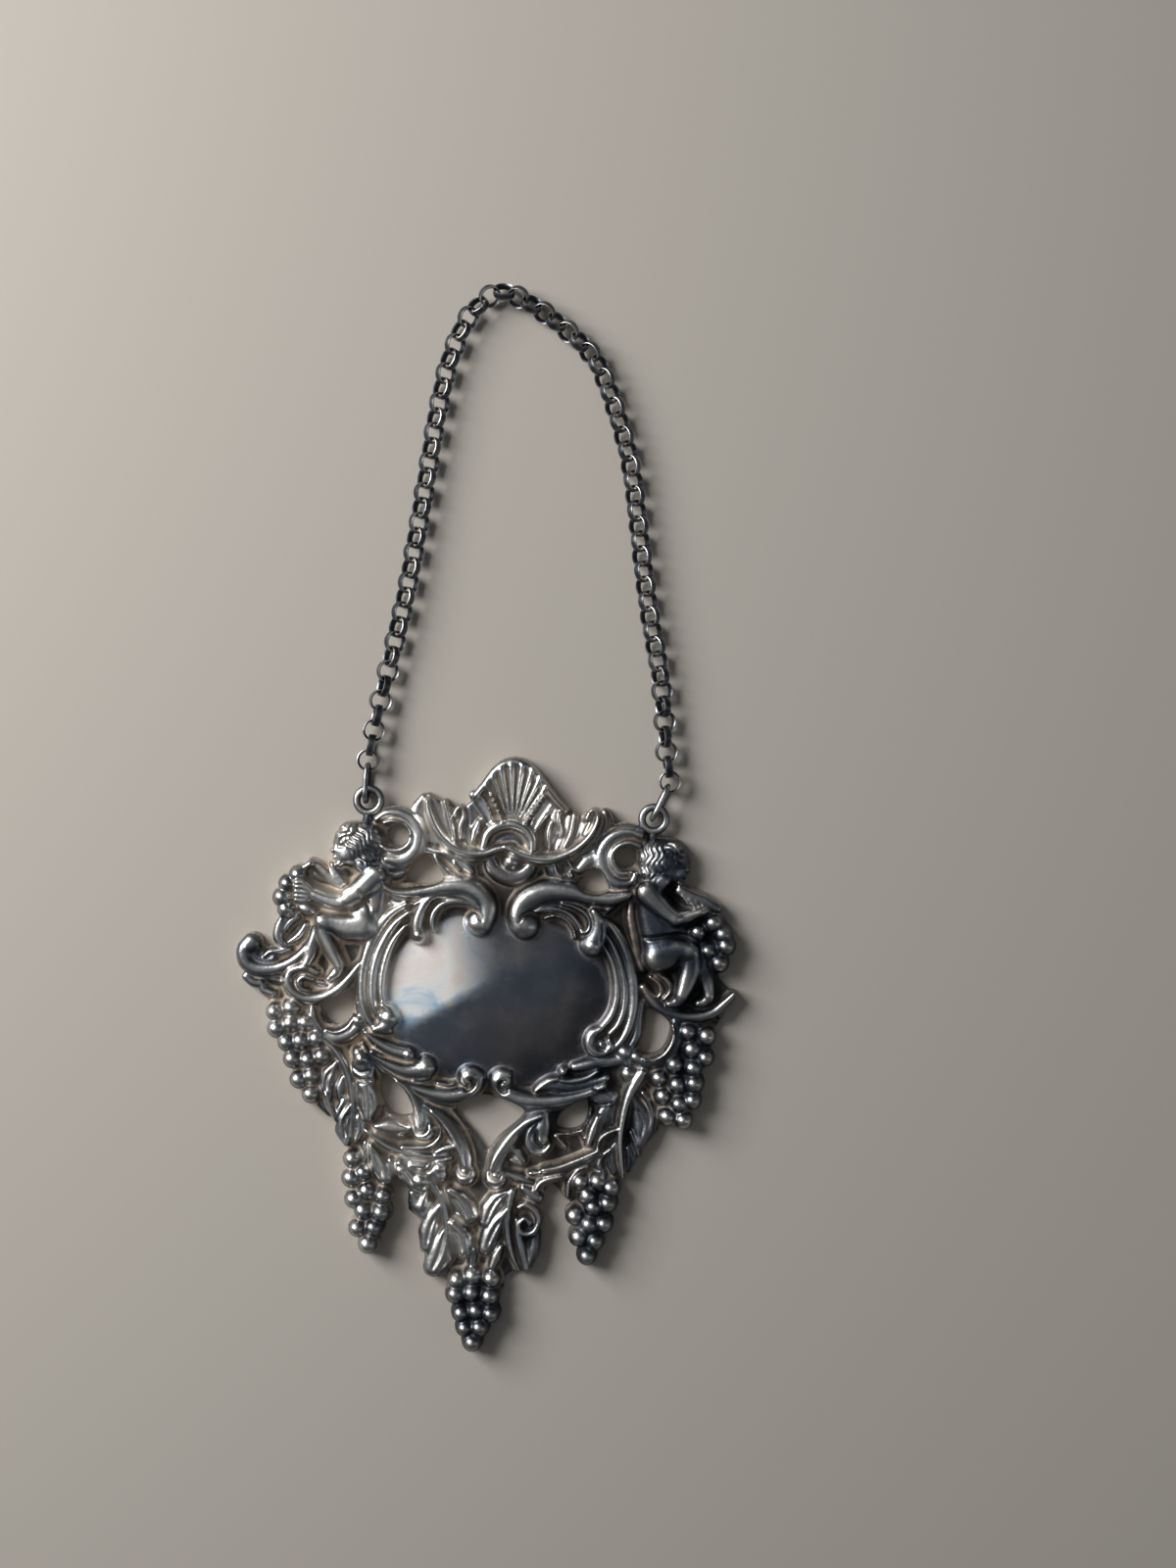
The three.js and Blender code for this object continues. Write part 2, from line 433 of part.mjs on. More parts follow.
function linkGeometry() {
  const outer = LINK_BORE_RADIUS + LINK_WALL;
  const profile = [
    [LINK_BORE_RADIUS, -LINK_INNER_WIDTH / 2], [outer, -LINK_OUTER_WIDTH / 2],
    [outer, LINK_OUTER_WIDTH / 2], [LINK_BORE_RADIUS, LINK_INNER_WIDTH / 2],
    [LINK_BORE_RADIUS, -LINK_INNER_WIDTH / 2],
  ];
  return new THREE.LatheGeometry(profile.map(([x, y]) => new THREE.Vector2(x, y)), LINK_SEGMENTS);
}

// The loop is stretched up or down until it is as long as its links.
function chainRoute(first, last) {
  const wanted = (LINK_COUNT - 1) * (2 * LINK_BORE_RADIUS - LINK_PLAY);
  const foot = Math.max(first.y, last.y);
  const reach = Math.hypot(LINK_BORE_RADIUS + LINK_WALL, LINK_OUTER_WIDTH / 2); // of a link, at any turn
  const height = reach + TABLE_GAP;
  const stretched = (factor) => {
    const inner = ROUTE.map(([x, y]) => new THREE.Vector3(x, foot + (y - foot) * factor, height));
    const route = new THREE.CatmullRomCurve3([first, ...inner, last]);
    route.arcLengthDivisions = ROUTE_DIVISIONS;
    return route;
  };
  let [low, high] = STRETCH_LIMITS;
  for (let i = 0; i < STRETCH_TRIALS; i++) {
    const factor = (low + high) / 2;
    if (stretched(factor).getLength() > wanted) high = factor;
    else low = factor;
  }
  return stretched((low + high) / 2);
}

// How far a link lies from flat, in degrees. The two end links lie flat, square to their upright rings,
// and the links after them turn step by step until they lie to one side and the other alike.
function linkTurn(i) {
  const side = i % 2 === 0 ? 1 : -1;
  const fromFirst = Math.max(0, 1 - i / SETTLING_LINKS);
  const fromLast = Math.max(0, 1 - (LINK_COUNT - 1 - i) / SETTLING_LINKS);
  return LINK_TURN * (side - fromFirst + fromLast);
}

// The links' places along the route
function linkPlaces(route) {
  const places = [];
  for (let i = 0; i < LINK_COUNT; i++) {
    const at = i / (LINK_COUNT - 1);
    const along = route.getTangentAt(at);
    const axis = new THREE.Vector3(0, 0, 1).applyAxisAngle(along, THREE.MathUtils.degToRad(linkTurn(i)));
    const across = new THREE.Vector3().crossVectors(along, axis);
    places.push(new THREE.Matrix4().makeBasis(along, axis, across).setPosition(route.getPointAt(at)));
  }
  return places;
}

function crownGeometry(places) {
  const link = linkGeometry();
  const spots = places.map((place) => new THREE.Vector3().setFromMatrixPosition(place));
  const links = places.map((place) => solid(link.clone().applyMatrix4(place)));
  const beads = spots.slice(1).map((spot, i) => {
    const middle = spot.clone().add(spots[i]).divideScalar(2);
    return solid(new THREE.IcosahedronGeometry(CROWN_BEAD_RADIUS, 0).translate(...middle));
  });
  return geometryOf(joined([...links, ...beads]));
}

function chain(first, last) {
  const group = new THREE.Group();
  const places = linkPlaces(chainRoute(first, last));
  const number = (i) => String(i).padStart(2, '0');
  const before = (LINK_COUNT - CROWN_LINK_COUNT) / 2; // loose links on each side of the crown
  places.forEach((place, i) => {
    if (i >= before && i < before + CROWN_LINK_COUNT) return;
    const link = named(`chain_link_${number(i + 1)}`, linkGeometry(), OXIDISED_SILVER);
    link.applyMatrix4(place);
    group.add(link);
  });
  const crown = places.slice(before, before + CROWN_LINK_COUNT);
  group.add(named('chain_crown', crownGeometry(crown), OXIDISED_SILVER));
  return group;
}

const label = new THREE.Group();
const left = suspension(EYE_LEFT, SEAT_ANGLE_LEFT, RING_LEAN_LEFT);
const right = suspension(EYE_RIGHT, SEAT_ANGLE_RIGHT, RING_LEAN_RIGHT);
label.add(named('label_plate', plate(), SILVER));
label.add(jumpRing('jump_ring_left', left));
label.add(jumpRing('jump_ring_right', right));
label.add(chain(left.link, right.link));

export default label;
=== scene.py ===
"""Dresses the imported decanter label: its cast plate, two eyes, two jump rings and belcher chain."""

import math

import bpy
import numpy as np
from mathutils import Matrix, Vector


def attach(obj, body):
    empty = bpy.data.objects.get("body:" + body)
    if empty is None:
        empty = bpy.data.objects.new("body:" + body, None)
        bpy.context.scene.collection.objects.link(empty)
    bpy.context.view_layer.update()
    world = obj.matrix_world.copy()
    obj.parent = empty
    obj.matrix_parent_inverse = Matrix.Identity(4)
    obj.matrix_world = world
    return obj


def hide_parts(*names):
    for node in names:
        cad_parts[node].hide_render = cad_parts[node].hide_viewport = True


bl_info = {
    "name": "Decanter label",
    "version": (1, 0, 0),
    "blender": (4, 5, 0),
    "location": "3D View > Sidebar > Label",
    "description": "Makes a tarnished silver decanter label with its chain",
    "category": "Object",
}

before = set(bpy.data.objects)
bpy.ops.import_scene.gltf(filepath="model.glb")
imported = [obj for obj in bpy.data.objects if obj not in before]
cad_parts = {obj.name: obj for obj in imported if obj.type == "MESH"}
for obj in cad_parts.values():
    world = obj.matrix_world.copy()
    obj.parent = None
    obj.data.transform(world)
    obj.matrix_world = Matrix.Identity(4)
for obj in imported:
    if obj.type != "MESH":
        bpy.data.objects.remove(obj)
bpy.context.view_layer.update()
MM = 0.001

# All sizes are in millimetres in the part's own frame, apart from those of the stage. Angles are
# in degrees, and heights are measured from the flat back.

# Plate
GROUND = 1.1
PANEL_CENTRE = (-0.3, -1.2)
PANEL_HALF = (15.6, 11.6)
PANEL_RISE = 1.1
GRAPE_RADIUS = 1.43
GRAPE_VARIETY = (0.93, 1.04)
GRAPE_SEED = 3
GRAPE_LIFT = 2.0
GRAPE_INSET = 0.5
GRAPE_REACH = 2.6
GRAPE_FADE = 1.2
EDGE_INSET = 0.5
SPREAD = 0.12
FILL_REACH = 0.5
FILL_DEPTH = 0.5
HOLE_INSET = 0.12
EDGE_FOOT = 0.85
EDGE_RISE = 3.2
EDGE_REACH = 1.1
EDGE_CLIMB = 2
EDGE_DEPTH = 1.5
TOP_LIMIT = 4.8
RELIEF_LOW = (-34.8, -47.6)
RELIEF_HIGH = (31.8, 31.2)
# shares of the grid pitch: how far outside the edge a point is kept, and may be moved on to it
KEEP_OUTSIDE = 0.45
MOVE_LIMIT = 0.8

# How the soft limbs and bosses of the figures stand on the ground and melt into each other
SOFT_FOOT = 0.9
LIMB_BLEND = 0.7
LIMB_REACH = 1.0
BOSS_BLEND = 0.35
BOSS_REACH = 0.8
OUTER_FALL = 3.0
MELT_ABOVE = GROUND + 0.15

# Hair
LOCK_WIDTH = 0.68
LOCK_DEPTH = 0.62
LOCK_SWAY = 0.26
LOCK_WAVE = 2.3
LOCK_DRIFT = 0.9
LOCK_ROUNDNESS = 0.6
LOCK_SINK = 0.75
HAIR_FADE = 3
HAIR_MARGIN = 0.3

# Shell: its ribbed fan, from the edge's distance at some bearings, and the wings at its sides
SHELL_ORIGIN = (0.4, 20.6)
FAN_BEARINGS = (-70, -45, -35, -15, 0, 20, 38, 55, 75)
FAN_EDGE = (5.2, 6.2, 7.0, 8.6, 9.2, 8.8, 7.9, 7.2, 6.6)
FAN_START = 1.2
FAN_HALF_TURN = 37
FAN_FOOT = 1.3
FAN_CLIMB = 0.06
RIB_TURN = 9.25
RIB_RISE = 1.3
WING_LEFT = (-3.2, 15.4)
WING_RIGHT = (4.0, 15.4)
WING_RANGE = (2.4, 12.5)
WING_TURNS = (8, 62)
WING_CURL = 1.2
WING_TOP = 2.15
LOBE_WIDTH = 13.5
LOBE_RISE = 0.14

# Rows of beads in grooves on the shell: first place, last place and count
BEAD_ROWS = [((-0.8, 21.9), (-2.8, 25.4), 6), ((1.9, 22.0), (4.2, 25.8), 7)]
BEAD_RADIUS = 0.3
BEAD_FOOT = 2.5
BEAD_TOP = 3.9
BEAD_SPAN = (0.04, 0.96)
GROOVE_WIDTH = 0.42
GROOVE_LIFT = -0.7

# Eyes: round wire on a neck
EYE_LEFT = (-18.5, 23.6)
EYE_RIGHT = (18.6, 23.6)
EYE_RADIUS = 1.55
EYE_WIRE = 0.5
EYE_HEIGHT = 1.6
NECK_OVERLAP = 0.2
NECK_LENGTH = 2.0
NECK_HALF = 0.5
NECK_SPREAD = 0.35
NECK_HEIGHT = 1.3
NECK_DROP = 0.15
NECK_THICK = 0.72
NECK_RINGS = 12
WIRE_SIDES = 20
EYE_STEPS = 64
# heights on an eye below which it is darker towards the bottom, and above which it is rubbed, each
# over a span
EYE_DARK = (1.95, 0.5)
EYE_RUBBED = (1.85, 0.25)
EYE_SHADE = 0.9

# Jump rings and chain, the same values as in the part's source
RING_WIRE = 0.37
RING_BORE = 1.0
RING_STRAIGHT = 2.0
RING_DROP = 0.25
RING_PLAY = 0.17
SEAT_LEFT = 105
SEAT_RIGHT = 77
LEAN_LEFT = 0
LEAN_RIGHT = 22
LINK_COUNT = 70
LINK_BORE = 1.15
LINK_WALL = 0.3
LINK_INNER_WIDTH = 0.64
LINK_OUTER_WIDTH = 1.0
LINK_PLAY = 0.33
LINK_TURN = 45
SETTLING_LINKS = 9
TABLE_GAP = 0.02
CROWN_LINK_COUNT = 14
# share of the solid's wire that is shown, so that the last link clears it in every pose
RING_WIRE_SHOWN = 0.95
RING_STEPS = 33
LINK_STEPS = 44
ROUTE_STEPS = 1001
ROUTE_STRETCH = (0.3, 3.0)
AHEAD = 0.0001
# angles between faces, in degrees, from which an edge is shaded as sharp
PLATE_SHARP = 75
WIRE_SHARP = 60
LINK_SHARP = 50
SUSPENSIONS = (
    ("left", EYE_LEFT, SEAT_LEFT, LEAN_LEFT),
    ("right", EYE_RIGHT, SEAT_RIGHT, LEAN_RIGHT),
)
ROUTE = [
    (-18.2, 34.5), (-16.6, 43.6), (-15.3, 51.7), (-14.4, 59.7), (-13.6, 67.6), (-12.8, 75.4),
    (-11.6, 82.2), (-9.4, 87.8), (-5.8, 90.9), (-2.2, 89.8), (2.6, 86.9), (7.0, 83.0), (10.0, 77.0),
    (12.4, 70.2), (13.8, 63.4), (15.0, 56.8), (16.4, 49.8), (18.0, 43.2), (19.0, 37.4),
    (19.6, 32.6),
]

# The plate's outline, clockwise from the top of the shell
OUTLINE = [
    (0.1, 30.3), (2.2, 29.7), (4.2, 27.7), (5.8, 25.9), (7.2, 24.2), (9.6, 24.3), (11.4, 24.9),
    (12.7, 23.8), (13.3, 21.9), (14.9, 22.6), (16.6, 22.6), (18.6, 21.7), (21.2, 21.5),
    (23.3, 20.3), (24.3, 18.3), (23.8, 15.6), (26.4, 14.2), (28.6, 12.8), (30.0, 10.8), (30.4, 8.2),
    (29.9, 5.6), (29.2, 3.5), (30.9, 1.9), (29.8, 0.1), (29.3, -2.6), (28.8, -6.4), (27.7, -9.8),
    (27.0, -13.6), (25.5, -16.3), (23.2, -16.4), (20.9, -18.8), (18.2, -23.0), (17.6, -26.0),
    (17.0, -30.0), (15.6, -33.2), (13.7, -34.9), (12.0, -33.4), (11.0, -30.0), (10.3, -27.4),
    (8.4, -25.2), (8.0, -28.6), (7.3, -33.2), (5.6, -36.7), (4.1, -37.0), (3.4, -41.0),
    (1.6, -44.6), (-0.4, -46.8), (-2.2, -45.2), (-3.3, -42.2), (-4.4, -39.6), (-4.9, -37.2),
    (-6.6, -37.4), (-7.1, -34.8), (-7.7, -31.6), (-9.3, -29.6), (-9.8, -27.0), (-11.6, -25.4),
    (-12.0, -28.4), (-12.7, -32.0), (-14.8, -35.1), (-16.6, -33.4), (-17.6, -30.4), (-18.3, -27.0),
    (-18.7, -23.4), (-19.4, -19.6), (-21.4, -17.2), (-23.6, -16.2), (-25.9, -14.2), (-27.2, -10.6),
    (-28.7, -7.8), (-30.2, -4.6), (-31.6, -1.8), (-33.2, 0.4), (-34.0, 3.2), (-32.4, 4.9),
    (-29.5, 4.3), (-29.2, 7.2), (-30.0, 10.0), (-28.9, 12.7), (-26.8, 14.8), (-23.4, 15.9),
    (-22.8, 18.6), (-21.6, 20.8), (-18.6, 21.7), (-16.2, 22.9), (-13.4, 23.2), (-12.4, 23.4),
    (-11.2, 25.7), (-8.9, 24.8), (-7.0, 23.9), (-4.2, 26.1), (-2.4, 29.0),
]
OPENINGS = [
    [(-10.9, 17.2), (-8.1, 14.3), (-10.9, 13.1), (-13.3, 13.8)],
    [(-23.3, -3.4), (-21.0, -1.9), (-18.7, -0.8), (-18.8, -4.0), (-21.0, -5.9)],
    [(-14.3, -11.5), (-11.4, -13.5), (-10.1, -16.6), (-12.8, -16.9), (-14.6, -14.4)],
    [(-4.8, -15.4), (-0.8, -13.5), (4.4, -15.3), (1.2, -19.0), (-0.3, -20.8), (-2.3, -18.4)],
    [(11.6, 16.7), (9.3, 14.6), (11.2, 13.5), (13.3, 14.2)],
    [(19.5, -0.9), (22.5, -2.8), (21.6, -6.3), (18.8, -6.9), (19.1, -3.4)],
    [(9.0, -15.2), (12.2, -13.1), (12.5, -15.8), (11.2, -17.3), (8.7, -17.3)],
]

ROUND_HOLES = [((-14.4, 19.4), 1.5), ((15.3, 18.4), 1.45)]

# Raised work of the plate. Each bar has its points, its half widths from end to end, its top
# height and, where it isn't round, its section; a later bar may run over an earlier one.
SHELL_RIM = [
    ([(-4.6, 25.2), (-3.7, 26.4), (-2.4, 28.3), (-1.2, 29.4), (0.2, 29.8), (1.6, 29.4), (2.9, 28.2),
      (4.4, 26.5), (5.8, 25.0), (6.9, 24.0)], (0.52, 0.63, 0.69, 0.69, 0.63, 0.57), 2.9),
]
SHELL_ARCH = [
    ([(-3.2, 18.6), (-2.8, 20.2), (-1.7, 21.3), (0.1, 21.8), (1.8, 21.3), (2.9, 20.1), (3.2, 18.7)],
     (0.6, 0.75, 0.8, 0.8, 0.8, 0.75, 0.6), 3.4),
    ([(-2.0, 18.8), (-1.5, 19.7), (-0.4, 20.3), (0.8, 20.3), (1.7, 19.6), (2.1, 18.8)],
     (0.4, 0.6, 0.6, 0.6, 0.6, 0.4), 2.5, "hollow"),
]
MOUSTACHE = [
    ([(-10.8, 24.1), (-10.4, 22.6), (-9.6, 20.9), (-8.4, 19.3), (-6.7, 18.1), (-4.9, 17.7),
      (-3.0, 17.8), (-1.3, 18.5), (0.4, 18.9)],
     (0.34, 0.48, 0.56, 0.62, 0.66, 0.68, 0.66, 0.6, 0.5), 3.8),
    ([(-8.6, 18.9), (-7.2, 17.6), (-5.6, 16.9), (-4.2, 16.7)], (0.2, 0.26, 0.26, 0.16), 2.9),
    ([(-0.4, 18.8), (1.2, 18.2), (3.2, 17.6), (5.4, 17.6), (7.6, 18.4), (9.4, 19.7), (10.7, 21.4),
      (11.3, 23.2), (10.9, 24.2), (10.2, 24.0), (9.8, 23.0)],
     (0.5, 0.64, 0.7, 0.74, 0.7, 0.6, 0.52, 0.46, 0.4, 0.36, 0.25), 3.9),
]
CREST_LEAVES = [
    # outer lobes, curled tips and the beads' own bands
    ([(-12.4, 21.4), (-12.0, 23.2), (-11.4, 24.5)], (0.6, 0.9, 0.5), 2.5),
    ([(-7.3, 22.3), (-6.9, 23.3), (-6.3, 23.5), (-6.0, 22.5), (-6.4, 21.1), (-6.3, 19.4)],
     (0.22, 0.3, 0.3, 0.3, 0.28, 0.2), 3.2),
    ([(-10.4, 24.6), (-9.4, 23.0), (-8.4, 21.0), (-7.8, 19.4)],
     (0.3, 0.5, 0.45, 0.3), 2.7, "hollow"),
    ([(-8.6, 24.2), (-8.0, 22.4), (-7.4, 20.6), (-7.0, 18.9)], (0.25, 0.34, 0.34, 0.2), 3.1),
    ([(-4.9, 25.2), (-4.0, 24.0), (-3.2, 22.8), (-2.6, 21.6)], (0.6, 0.9, 0.8, 0.5), 2.8, "hollow"),
    ([(-4.0, 21.8), (-4.4, 20.6), (-4.7, 19.2)], (0.35, 0.6, 0.35), 3.0),
    ([(5.2, 25.4), (4.4, 24.2), (3.6, 22.8), (3.1, 21.4)], (0.6, 0.9, 0.8, 0.5), 2.8, "hollow"),
    ([(6.2, 23.6), (6.2, 22.6), (6.6, 21.4), (6.5, 20.8)], (0.3, 0.34, 0.34, 0.25), 3.1),
    ([(8.2, 23.6), (8.1, 22.4), (7.9, 21.0), (7.2, 19.2)], (0.25, 0.34, 0.34, 0.25), 3.1),
    ([(10.6, 23.4), (10.3, 22.4), (9.7, 21.0)], (0.3, 0.4, 0.3), 3.0),
    ([(5.3, 22.4), (5.0, 20.8), (5.3, 19.0)], (0.2, 0.3, 0.2), 3.0),
    ([(12.2, 24.0), (12.5, 22.6), (12.0, 21.2), (11.0, 20.0)], (0.6, 0.9, 0.9, 0.5), 2.4, "soft"),
    # lobes under the stem
    ([(-12.4, 20.8), (-11.0, 19.6), (-9.4, 18.6)], (0.5, 0.75, 0.4), 2.3),
    ([(-12.0, 18.4), (-10.4, 17.7), (-8.8, 17.5)], (0.3, 0.5, 0.3), 2.4),
    ([(-9.4, 17.0), (-8.7, 15.8), (-7.6, 14.9), (-6.4, 14.4)],
     (0.35, 0.75, 0.85, 0.4), 2.6, "soft"),
    ([(-8.4, 17.5), (-7.0, 17.0), (-5.4, 16.0), (-4.6, 15.2)], (0.4, 0.8, 0.9, 0.4), 2.4),
    ([(-6.9, 16.3), (-6.1, 15.4)], (0.16, 0.16), 2.9),
    ([(12.4, 20.0), (11.2, 18.9), (9.8, 18.2)], (0.45, 0.8, 0.45), 2.4),
    ([(11.4, 18.4), (10.2, 17.4), (9.4, 16.6)], (0.7, 1.2, 0.7), 2.7),
    ([(7.7, 17.7), (8.4, 16.7), (9.2, 16.2)], (0.18, 0.26, 0.18), 2.9),
    ([(6.1, 16.9), (6.5, 15.9), (7.2, 15.4)], (0.2, 0.28, 0.2), 2.9),
    ([(8.1, 16.2), (8.5, 15.5)], (0.2, 0.2), 2.8),
    ([(5.2, 17.0), (6.2, 15.9), (7.8, 15.2)], (0.5, 1.1, 0.6), 2.3),
]
CREST_BOSS = [
    ([(-2.3, 17.4), (-1.9, 16.0), (-0.8, 15.2), (0.5, 14.9), (1.8, 15.2), (2.9, 16.2), (3.2, 17.2)],
     (0.7, 0.95, 1.1, 1.15, 1.1, 0.95, 0.7), 2.5),
]
FRAME_TOP = [
    # left scroll: its back, its throat and its flutes
    ([(-15.8, 13.0), (-14.8, 12.2), (-12.8, 12.0), (-10.4, 12.4), (-7.8, 13.1), (-5.4, 13.3),
      (-3.5, 12.6), (-2.4, 11.3), (-2.2, 9.8), (-2.6, 8.6)],
     (0.3, 0.5, 0.7, 0.95, 1.15, 1.3, 1.4, 1.35, 1.3, 1.3), 3.6),
    ([(-11.6, 10.6), (-9.6, 11.7), (-7.2, 12.1), (-5.2, 11.9), (-3.8, 11.0), (-3.2, 9.9)],
     (0.25, 0.42, 0.46, 0.46, 0.4, 0.2), 3.1),
    ([(-3.4, 10.6), (-4.6, 11.3), (-6.4, 11.4), (-8.0, 10.9), (-9.0, 9.8), (-9.3, 8.4),
      (-9.0, 7.4)], (0.2, 0.32, 0.38, 0.4, 0.4, 0.36, 0.2), 2.9),
    ([(-8.6, 12.2), (-10.0, 11.2), (-10.8, 9.6), (-11.1, 7.8), (-10.8, 6.5)],
     (0.4, 0.62, 0.75, 0.95, 1.05), 3.3),
    ([(-13.0, 10.0), (-12.0, 9.0), (-11.8, 7.8)], (0.2, 0.34, 0.2), 2.4),
    ([(-15.2, 14.0), (-15.1, 12.8), (-14.3, 11.9), (-12.8, 11.4)], (0.32, 0.42, 0.42, 0.25), 2.6),
    ([(-15.3, 12.2), (-14.4, 11.2), (-12.6, 10.9)], (0.25, 0.42, 0.25), 2.5),
    ([(-15.0, 10.4), (-13.6, 10.5), (-12.0, 10.7)], (0.2, 0.36, 0.2), 2.4),
    # right scroll
    ([(15.8, 13.6), (13.6, 13.0), (11.0, 13.1), (8.4, 13.5), (6.0, 13.5), (3.9, 12.8), (2.4, 11.6),
      (1.9, 10.2), (2.2, 8.8)], (0.7, 1.0, 1.15, 1.3, 1.5, 1.6, 1.6, 1.5, 1.4), 3.7),
    ([(12.8, 11.2), (10.6, 12.0), (8.2, 12.3), (6.2, 12.0), (4.6, 11.2), (3.6, 10.4)],
     (0.3, 0.5, 0.55, 0.5, 0.4, 0.2), 2.7),
    ([(3.4, 10.4), (5.0, 11.0), (6.8, 11.2), (8.4, 10.7), (9.6, 9.6), (10.2, 8.4)],
     (0.25, 0.4, 0.45, 0.45, 0.42, 0.3), 2.8),
    ([(7.4, 12.0), (9.2, 11.6), (10.6, 10.8), (11.2, 9.6), (10.9, 8.6), (10.2, 8.4)],
     (0.25, 0.36, 0.4, 0.4, 0.36, 0.25), 3.2),
    ([(11.6, 11.2), (12.3, 9.8), (12.3, 8.2), (11.7, 6.9)], (0.6, 1.1, 1.45, 1.65), 3.5),
    ([(5.2, 9.9), (6.6, 10.3), (8.0, 9.9), (9.0, 8.8), (9.4, 7.6)],
     (0.14, 0.2, 0.2, 0.2, 0.14), 2.5),
    ([(14.6, 12.4), (13.4, 11.4), (12.4, 10.4)], (0.3, 0.42, 0.3), 2.4),
]
FRAME_SIDES = [
    # left bracket, three reeds and a curl
    ([(-12.6, 10.6), (-14.6, 9.2), (-16.2, 7.0), (-17.2, 4.4), (-17.7, 1.6), (-17.7, -1.2),
      (-17.2, -3.4), (-16.3, -5.0), (-15.0, -6.0), (-13.6, -6.0)],
     (0.34, 0.56, 0.69, 0.74, 0.74, 0.69, 0.67, 0.62, 0.56, 0.34), 2.9),
    ([(-12.2, 9.6), (-13.9, 8.0), (-15.2, 5.8), (-16.1, 3.2), (-16.4, 0.4), (-16.2, -2.2),
      (-15.5, -4.0)], (0.28, 0.5, 0.62, 0.67, 0.67, 0.62, 0.34), 3.0),
    ([(-12.6, 7.8), (-13.9, 6.0), (-14.8, 3.6), (-15.2, 1.0), (-15.1, -1.4), (-14.6, -3.0)],
     (0.22, 0.39, 0.47, 0.5, 0.47, 0.28), 2.8),
    ([(-14.9, -2.6), (-14.1, -3.2), (-13.9, -4.4), (-14.5, -5.4), (-15.6, -5.8)],
     (0.4, 0.9, 1.15, 1.0, 0.6), 3.3),
    # right bracket
    ([(12.2, 10.8), (14.2, 9.2), (15.9, 6.6), (17.0, 3.6), (17.5, 0.4), (17.3, -2.4), (16.5, -4.8),
      (15.2, -6.4), (13.8, -7.0)], (0.39, 0.56, 0.67, 0.74, 0.78, 0.74, 0.67, 0.56, 0.34), 2.9),
    ([(12.8, 9.0), (14.2, 7.2), (15.4, 4.8), (16.2, 2.0), (16.3, -0.8), (15.7, -3.0), (14.6, -4.4)],
     (0.22, 0.39, 0.5, 0.58, 0.58, 0.5, 0.28), 3.1),
    ([(13.2, 6.8), (14.4, 4.8), (15.1, 2.4), (15.2, 0.0), (14.7, -2.0), (13.6, -3.6), (12.9, -4.2)],
     (0.22, 0.39, 0.47, 0.5, 0.47, 0.45, 0.34), 2.9),
    ([(13.4, -3.9), (12.4, -4.6), (12.1, -5.8), (12.8, -6.8), (14.0, -6.9), (14.9, -6.1),
      (14.6, -5.2)], (0.45, 0.67, 0.73, 0.73, 0.67, 0.56, 0.34), 3.1),
]
FRAME_FOOT = [
    # left leaf lobes and long scroll
    ([(-16.8, -6.3), (-15.2, -7.5), (-13.2, -8.4), (-11.2, -8.8)], (0.4, 0.85, 0.85, 1.0), 3.0),
    ([(-15.8, -8.8), (-13.8, -10.1), (-11.4, -10.9), (-9.6, -10.7), (-8.8, -10.2)],
     (0.4, 0.8, 0.95, 1.1, 1.35), 3.2),
    ([(-10.2, -12.1), (-9.2, -12.0), (-8.3, -11.8)], (0.2, 0.32, 0.2), 2.6),
    ([(-7.2, -12.3), (-5.8, -12.5), (-4.9, -12.2)], (0.2, 0.32, 0.2), 2.4),
    ([(-17.2, -7.6), (-15.2, -10.2), (-13.0, -12.0), (-10.6, -12.9), (-8.0, -13.6), (-5.4, -13.8),
      (-3.4, -13.3), (-2.1, -12.2), (-1.9, -11.0), (-2.8, -10.4), (-3.8, -11.0)],
     (0.3, 0.42, 0.45, 0.5, 0.6, 0.8, 0.95, 1.0, 0.95, 0.8, 0.55), 3.1),
    ([(-12.2, -12.6), (-9.8, -13.9), (-7.2, -14.7), (-5.2, -15.0)], (0.25, 0.4, 0.45, 0.3), 2.4),
    # right
    ([(16.8, -7.6), (14.8, -8.1), (12.4, -8.6), (10.4, -9.1)], (0.6, 0.85, 0.8, 0.55), 2.6),
    ([(8.6, -10.9), (10.2, -10.9), (12.0, -10.4), (13.4, -9.4)], (0.25, 0.5, 0.5, 0.25), 2.9),
    ([(14.6, -10.2), (12.4, -11.2), (9.8, -11.8), (7.6, -11.7), (6.2, -12.0)],
     (0.5, 0.8, 0.9, 0.8, 0.4), 2.8),
    ([(5.6, -12.4), (6.4, -11.7), (7.4, -11.0), (8.3, -10.7)], (0.32, 0.5, 0.5, 0.3), 3.0),
    ([(14.4, -11.2), (11.8, -12.5), (9.0, -13.4), (6.2, -13.8), (3.8, -13.7), (2.0, -13.0),
      (0.7, -11.8), (0.9, -10.6), (1.9, -10.6)],
     (0.4, 0.6, 0.85, 1.0, 1.05, 1.1, 1.1, 0.95, 0.6), 3.2),
    ([(11.4, -13.4), (8.8, -14.5), (6.2, -15.0), (3.8, -15.0)], (0.25, 0.36, 0.36, 0.25), 2.5),
]
